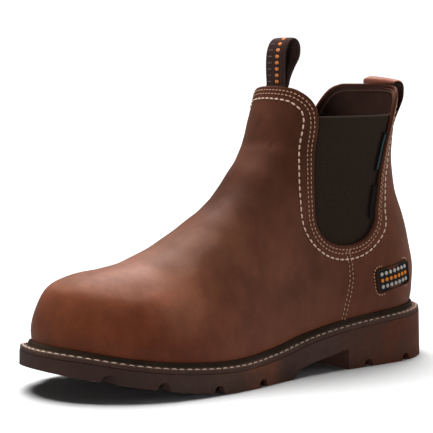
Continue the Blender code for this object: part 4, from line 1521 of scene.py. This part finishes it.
def make_gore(name, node, rear_column, side, paint):
    """Ribbed elastic panel behind one opening."""
    turns = side * np.radians(np.linspace(*GORE_TURNS, GORE_COLUMNS))
    rises = np.linspace(*GORE_RISES, GORE_LEVELS)
    face = surface(turns, rises)
    normal = grid_normals(face, False) * side
    depth = WALL + GAP
    lean = RIB_LEAN * (face[..., 2] - OPENING[0][0])
    ribs = RIB_HEIGHT * (1 + np.cos(2 * math.pi * (face[..., 1] - lean) / RIB_PITCH)) / 2
    front = face - (depth + RIB_HEIGHT - ribs)[..., None] * normal
    back = face - (depth + GORE_THICKNESS) * normal
    gore = shell(name, front, back, False)
    outline = opening_outline(rear_column, GORE_OVERLAP, GORE_TOP)
    start, end = sorted((0.0, side * SHEET_REACH))
    combine(gore, side_prism("gore outline", outline, start, end), "INTERSECT")
    settle(clean(gore, paint), "gore_elastic", node)


def make_outsole(paint):
    """Rubber unit of the CAD's own outline, rounder and with softened edges."""
    feather = ring_at(0.0, SOLE_COLUMNS)
    top = ring_offset(feather, SOLE_LEDGE)
    bottom = ring_offset(feather, SOLE_LEDGE + SOLE_FLARE)
    top[:, 2] = SOLE_PRISM_TOP
    bottom[:, 2] = PRISM_FOOT
    sole = prism("boot_outsole", bottom, top)
    under = sole_underside()
    edge = [under[-1][0], *station_to_y(np.linspace(*SEAT_REACH)), under[0][0]]
    over = [(y, seat_height(y_to_station(y)) - WELT_THICKNESS - GAP) for y in edge]
    combine(sole, side_prism("sole side view", under + over, -SHEET_REACH, SHEET_REACH), "INTERSECT")
    for start, end, place, width in CHANNELS:
        roof = [tread_point(station) for station in np.linspace(start, end, CHANNEL_STEPS)]
        outline = [(y, height + CHANNEL_DEPTH) for y, height in roof]
        outline += [(roof[-1][0], CHANNEL_FOOT), (roof[0][0], CHANNEL_FOOT)]
        middle = place * BALL_WIDTH
        combine(sole, side_prism("channel", outline, middle - width / 2, middle + width / 2), "DIFFERENCE")
    clean(sole, paint)
    set_tone(sole, RUBBER, RUBBER_TONES)
    bevel = sole.modifiers.new("softened edges", "BEVEL")
    bevel.width = SOLE_EDGE_BEVEL
    bevel.segments = 2
    bevel.limit_method = "ANGLE"
    bevel.angle_limit = SOLE_EDGE_ANGLE
    bevel.harden_normals = False
    settle(sole, "sole_rubber", "outsole")


def make_welt(paints):
    """Ledge with a raised rib, and the row of heavy stitches sunk in it."""
    rings = []
    for number, (out, up) in enumerate(WELT_PROFILE):
        ring = ring_at(max(up, 0.0) if number < WELT_WALL_ROWS else 0.0, SOLE_COLUMNS)
        ring = ring_offset(ring, out)
        ring[:, 2] = seat_height(y_to_station(ring[:, 1])) + up
        rings.append(ring)
    welt = clean(ring_sweep("boot_welt", rings), paints["welt"])
    points = vertex_vectors(welt.data, "co")
    up = (points[:, 2] - seat_height(y_to_station(points[:, 1])))[:, None]
    rear = np.clip(points[:, 1:2] / WELT_REAR_REACH, 0, 1)
    ledge = linear(WELT_LEDGE) * (1 - rear) + linear(WELT_REAR) * rear
    # painted shade, partly the rib's own dark colour: the welt's raised rib beside the upper is darkened
    tone = np.where(up > WELT_RIB_FROM, linear(WELT_RIB_AND_SHADE), ledge)
    write_tone(welt.data, np.where(up < WELT_SIDE_FROM, linear(WELT_SIDE), tone))
    settle(welt, "welt_leather", "welt")
    line = ring_offset(ring_at(0.0, SOLE_COLUMNS), WELT_STITCH_OUT)
    line[:, 2] = seat_height(y_to_station(line[:, 1]))
    along = unit(np.roll(line, -1, 0) - np.roll(line, 1, 0))
    side = unit(np.stack([along[:, 1], -along[:, 0], 0 * along[:, 0]], -1))
    normals = unit(np.cross(side, along))
    normals *= np.sign(normals[:, 2:])
    make_threads("welt_stitches", [(line, normals)], WELT_STITCH, paints["welt thread"], slot="welt_leather")


def badge_outline(grow, steps):
    """Rounded rectangle of the heel patch in side view."""
    radius = BADGE_CORNER + grow
    half_length = BADGE_SIZE[0] / 2 - BADGE_CORNER
    half_height = BADGE_SIZE[1] / 2 - BADGE_CORNER
    outline = []
    for corner, (along, up) in enumerate(((1, 1), (-1, 1), (-1, -1), (1, -1))):
        for angle in np.linspace(0, math.pi / 2, steps) + corner * math.pi / 2:
            y = along * half_length + radius * math.cos(angle)
            outline.append((y, up * half_height + radius * math.sin(angle)))
    return outline


def badge_spot(leather, along, up, height=-GAP):
    """Point at a height above the patch's back, and its normal, at a place along and up the patch."""
    y = BADGE_CENTRE[0] + along * math.cos(BADGE_LEAN) - up * math.sin(BADGE_LEAN)
    z = BADGE_CENTRE[1] + along * math.sin(BADGE_LEAN) + up * math.cos(BADGE_LEAN)
    spot, normal = leather.side_spot(y, z)
    return spot + (GAP + height) * normal, normal


def make_badge(leather, paints):
    """Patch with a raised rim and a plain grid of round studs."""
    points = []
    for share, grow, height in BADGE_PROFILE:
        for along, up in badge_outline(grow, BADGE_CORNER_STEPS):
            points.append(badge_spot(leather, along * share, up * share, height)[0])
    count = 4 * BADGE_CORNER_STEPS
    last = len(points) - count
    faces = grid_faces(len(BADGE_PROFILE), count, 0, True)
    points += [badge_spot(leather, 0, 0, BADGE_BASE)[0], badge_spot(leather, 0, 0, 0.0)[0]]
    for number in range(count):
        after = (number + 1) % count
        faces.append((last + number, last + after, len(points) - 2))
        faces.append((after, number, len(points) - 1))
    picks = [0 if number < 3 * count else 1 for number in range(len(faces))]
    badge = make_object("heel_patch", points, faces, picks)
    settle(clean(badge, paints["patch rim"], paints["patch rubber"]), "patch", "heel_badge")
    dots = {"orange": [], "pale": []}
    rows, columns = BADGE_DOTS
    for row in range(rows):
        for column in range(columns):
            along = (column - (columns - 1) / 2) * BADGE_DOT_PITCH[0]
            up = (row - (rows - 1) / 2) * BADGE_DOT_PITCH[1]
            spot, normal = badge_spot(leather, along, up, BADGE_BASE)
            side = unit(np.cross(normal, (0.0, 0.0, 1.0)))
            place = (spot, BADGE_DOT_RADIUS * side, BADGE_DOT_RADIUS * np.cross(side, normal))
            dots["orange" if row == 1 else "pale"].append((*place, BADGE_DOT_HEIGHT * normal))
    for colour, places in dots.items():
        finish = paints["orange thread" if colour == "orange" else "pale studs"]
        settle(studs("patch_studs_" + colour, places, STUD_PROFILE, finish), "patch")


def make_patch_stitches(leather, paint):
    """Row of stitches round the heel patch."""
    outline = badge_outline(BADGE_STITCH_OUT, 12)
    ring = gather(badge_spot(leather, along, up) for along, up in outline)
    make_threads("patch_stitches", [ring], BADGE_STITCH, paint)


def make_tab(name, leather, ends, sides, depths, paint):
    """Flat cloth strip just ahead of the rear edge of the outer gore opening."""
    low, high = ends
    middle = sum(depths) / 2
    near = []
    deep = []
    for z in np.linspace(low, high, TAB_LEVELS):
        edge = smooth(OPENING, 2, z)
        row = [leather.side_spot(edge - ahead, z) for ahead in np.linspace(*sides, TAB_COLUMNS)]
        end = max(0.0, 1 - min(z - low, high - z) / TAB_ROUND)
        share = TAB_END_SHARE + (1 - TAB_END_SHARE) * math.sqrt(1 - end**2)
        half = (depths[1] - depths[0]) / 2 * share
        near.append([spot - (middle - half) * normal for spot, normal in row])
        deep.append([spot - (middle + half) * normal for spot, normal in row])
    tab = shell(name, np.array(near), np.array(deep), False)
    settle(clean(tab, paint), "gore_elastic")


def loop_bars(name, centre, normal, travelled, sizes, paint):
    """Row of woven bars down the front of the pull loop and over its top."""
    place, across_size, along_size, height = sizes
    middle = centre.shape[1] // 2
    leg = len(centre) // 2
    start = np.interp(COLLAR_FRONT_HEIGHT + LOOP_BAR_START, centre[:leg, middle, 2], travelled[:leg])
    column = int(round(np.interp(place, centre[0, :, 0], np.arange(centre.shape[1]))))
    across = np.array([1.0, 0.0, 0.0])
    places = []
    for number in range(LOOP_BARS):
        index = np.interp([start + number * LOOP_BAR_PITCH], travelled, np.arange(len(travelled)))
        spot = take(centre[:, column], index)[0]
        out = unit(take(normal, index))[0]
        along = unit(np.cross(out, across))
        places.append((spot, across * across_size / 2, along * along_size / 2, out * height))
    settle(studs(name, places, BAR_PROFILE, paint), "webbing")


def make_front_loop(paints):
    loop, centre, normal, travelled = strap(
        "front_pull_loop", FRONT_LOOP, 0, FRONT_LOOP_WIDTH, FRONT_LOOP_THICKNESS,
        (0, 0), 150, LOOP_RIPPLE, paints["webbing"])
    settle(loop, "webbing", "pull_loop_front")
    outward = normal * np.sign(-normal[len(normal) // 4, 1])
    loop_bars("pull_loop_bars", centre, outward, travelled, LOOP_BAR, paints["loop thread"])
    loop_bars("pull_loop_weft", centre, outward, travelled, LOOP_WEFT, paints["loop weft"])


def make_rear_loop(paints):
    # the strap's inner faces take the dark lining: partly a lining colour, partly painted shade inside the
    # loop
    loop, _, _, _ = strap(
        "rear_pull_loop", REAR_LOOP, math.pi, REAR_LOOP_WIDTH, REAR_LOOP_THICKNESS,
        (REAR_LOOP_SHIFT, REAR_LOOP_DIP), 90, (0.0, 1.0), paints["strap"], paints["lining"])
    settle(loop, "upper_leather", "pull_loop_rear")


def main():
    paints = make_paints()
    leather = Leather()
    fine = [leather.stitch_line(1), leather.stitch_line(2)]
    heavy = [leather.stitch_line(3)]
    sides = side_seams(leather)
    backs = back_seams(leather)
    lines = [line for line, _ in fine + heavy + sides + backs]
    seam_tree = tree_of(np.vstack([take(line, resample(line, SEAM_STEP, False)) for line in lines]))
    make_upper(leather, seam_tree, paints)
    make_edges(leather, paints)
    make_threads("fine_stitches", fine, FINE_STITCH, paints["tan thread"])
    make_threads("heavy_stitches", heavy, HEAVY_STITCH, paints["cream thread"])
    make_threads("side_seam_stitches", sides, SEAM_STITCH, paints["tan thread"], closed=False)
    make_threads("back_seam_stitches", backs, SEAM_STITCH, paints["dark thread"], closed=False)
    make_patch_stitches(leather, paints["tan thread"])
    make_outsole(paints["rubber"])
    make_welt(paints)
    make_gore("gore_outer", "gore_lateral", 2, 1, paints["elastic"])
    make_gore("gore_inner", "gore_medial", 3, -1, paints["elastic"])
    make_badge(leather, paints)
    for name, ends in zip(("upper_tab", "lower_tab"), TAB_ENDS):
        make_tab(name, leather, ends, TAB_SIDES, TAB_DEPTHS, paints["tab cloth"])
    make_tab("upper_tab_stripe", leather, STRIPE_END, STRIPE_SIDES, STRIPE_DEPTHS, paints["tab stripe"])
    make_front_loop(paints)
    make_rear_loop(paints)
    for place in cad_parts["insole"].material_slots:
        place.material = paints["sock lining"]


make_camera()
make_studio()
main()
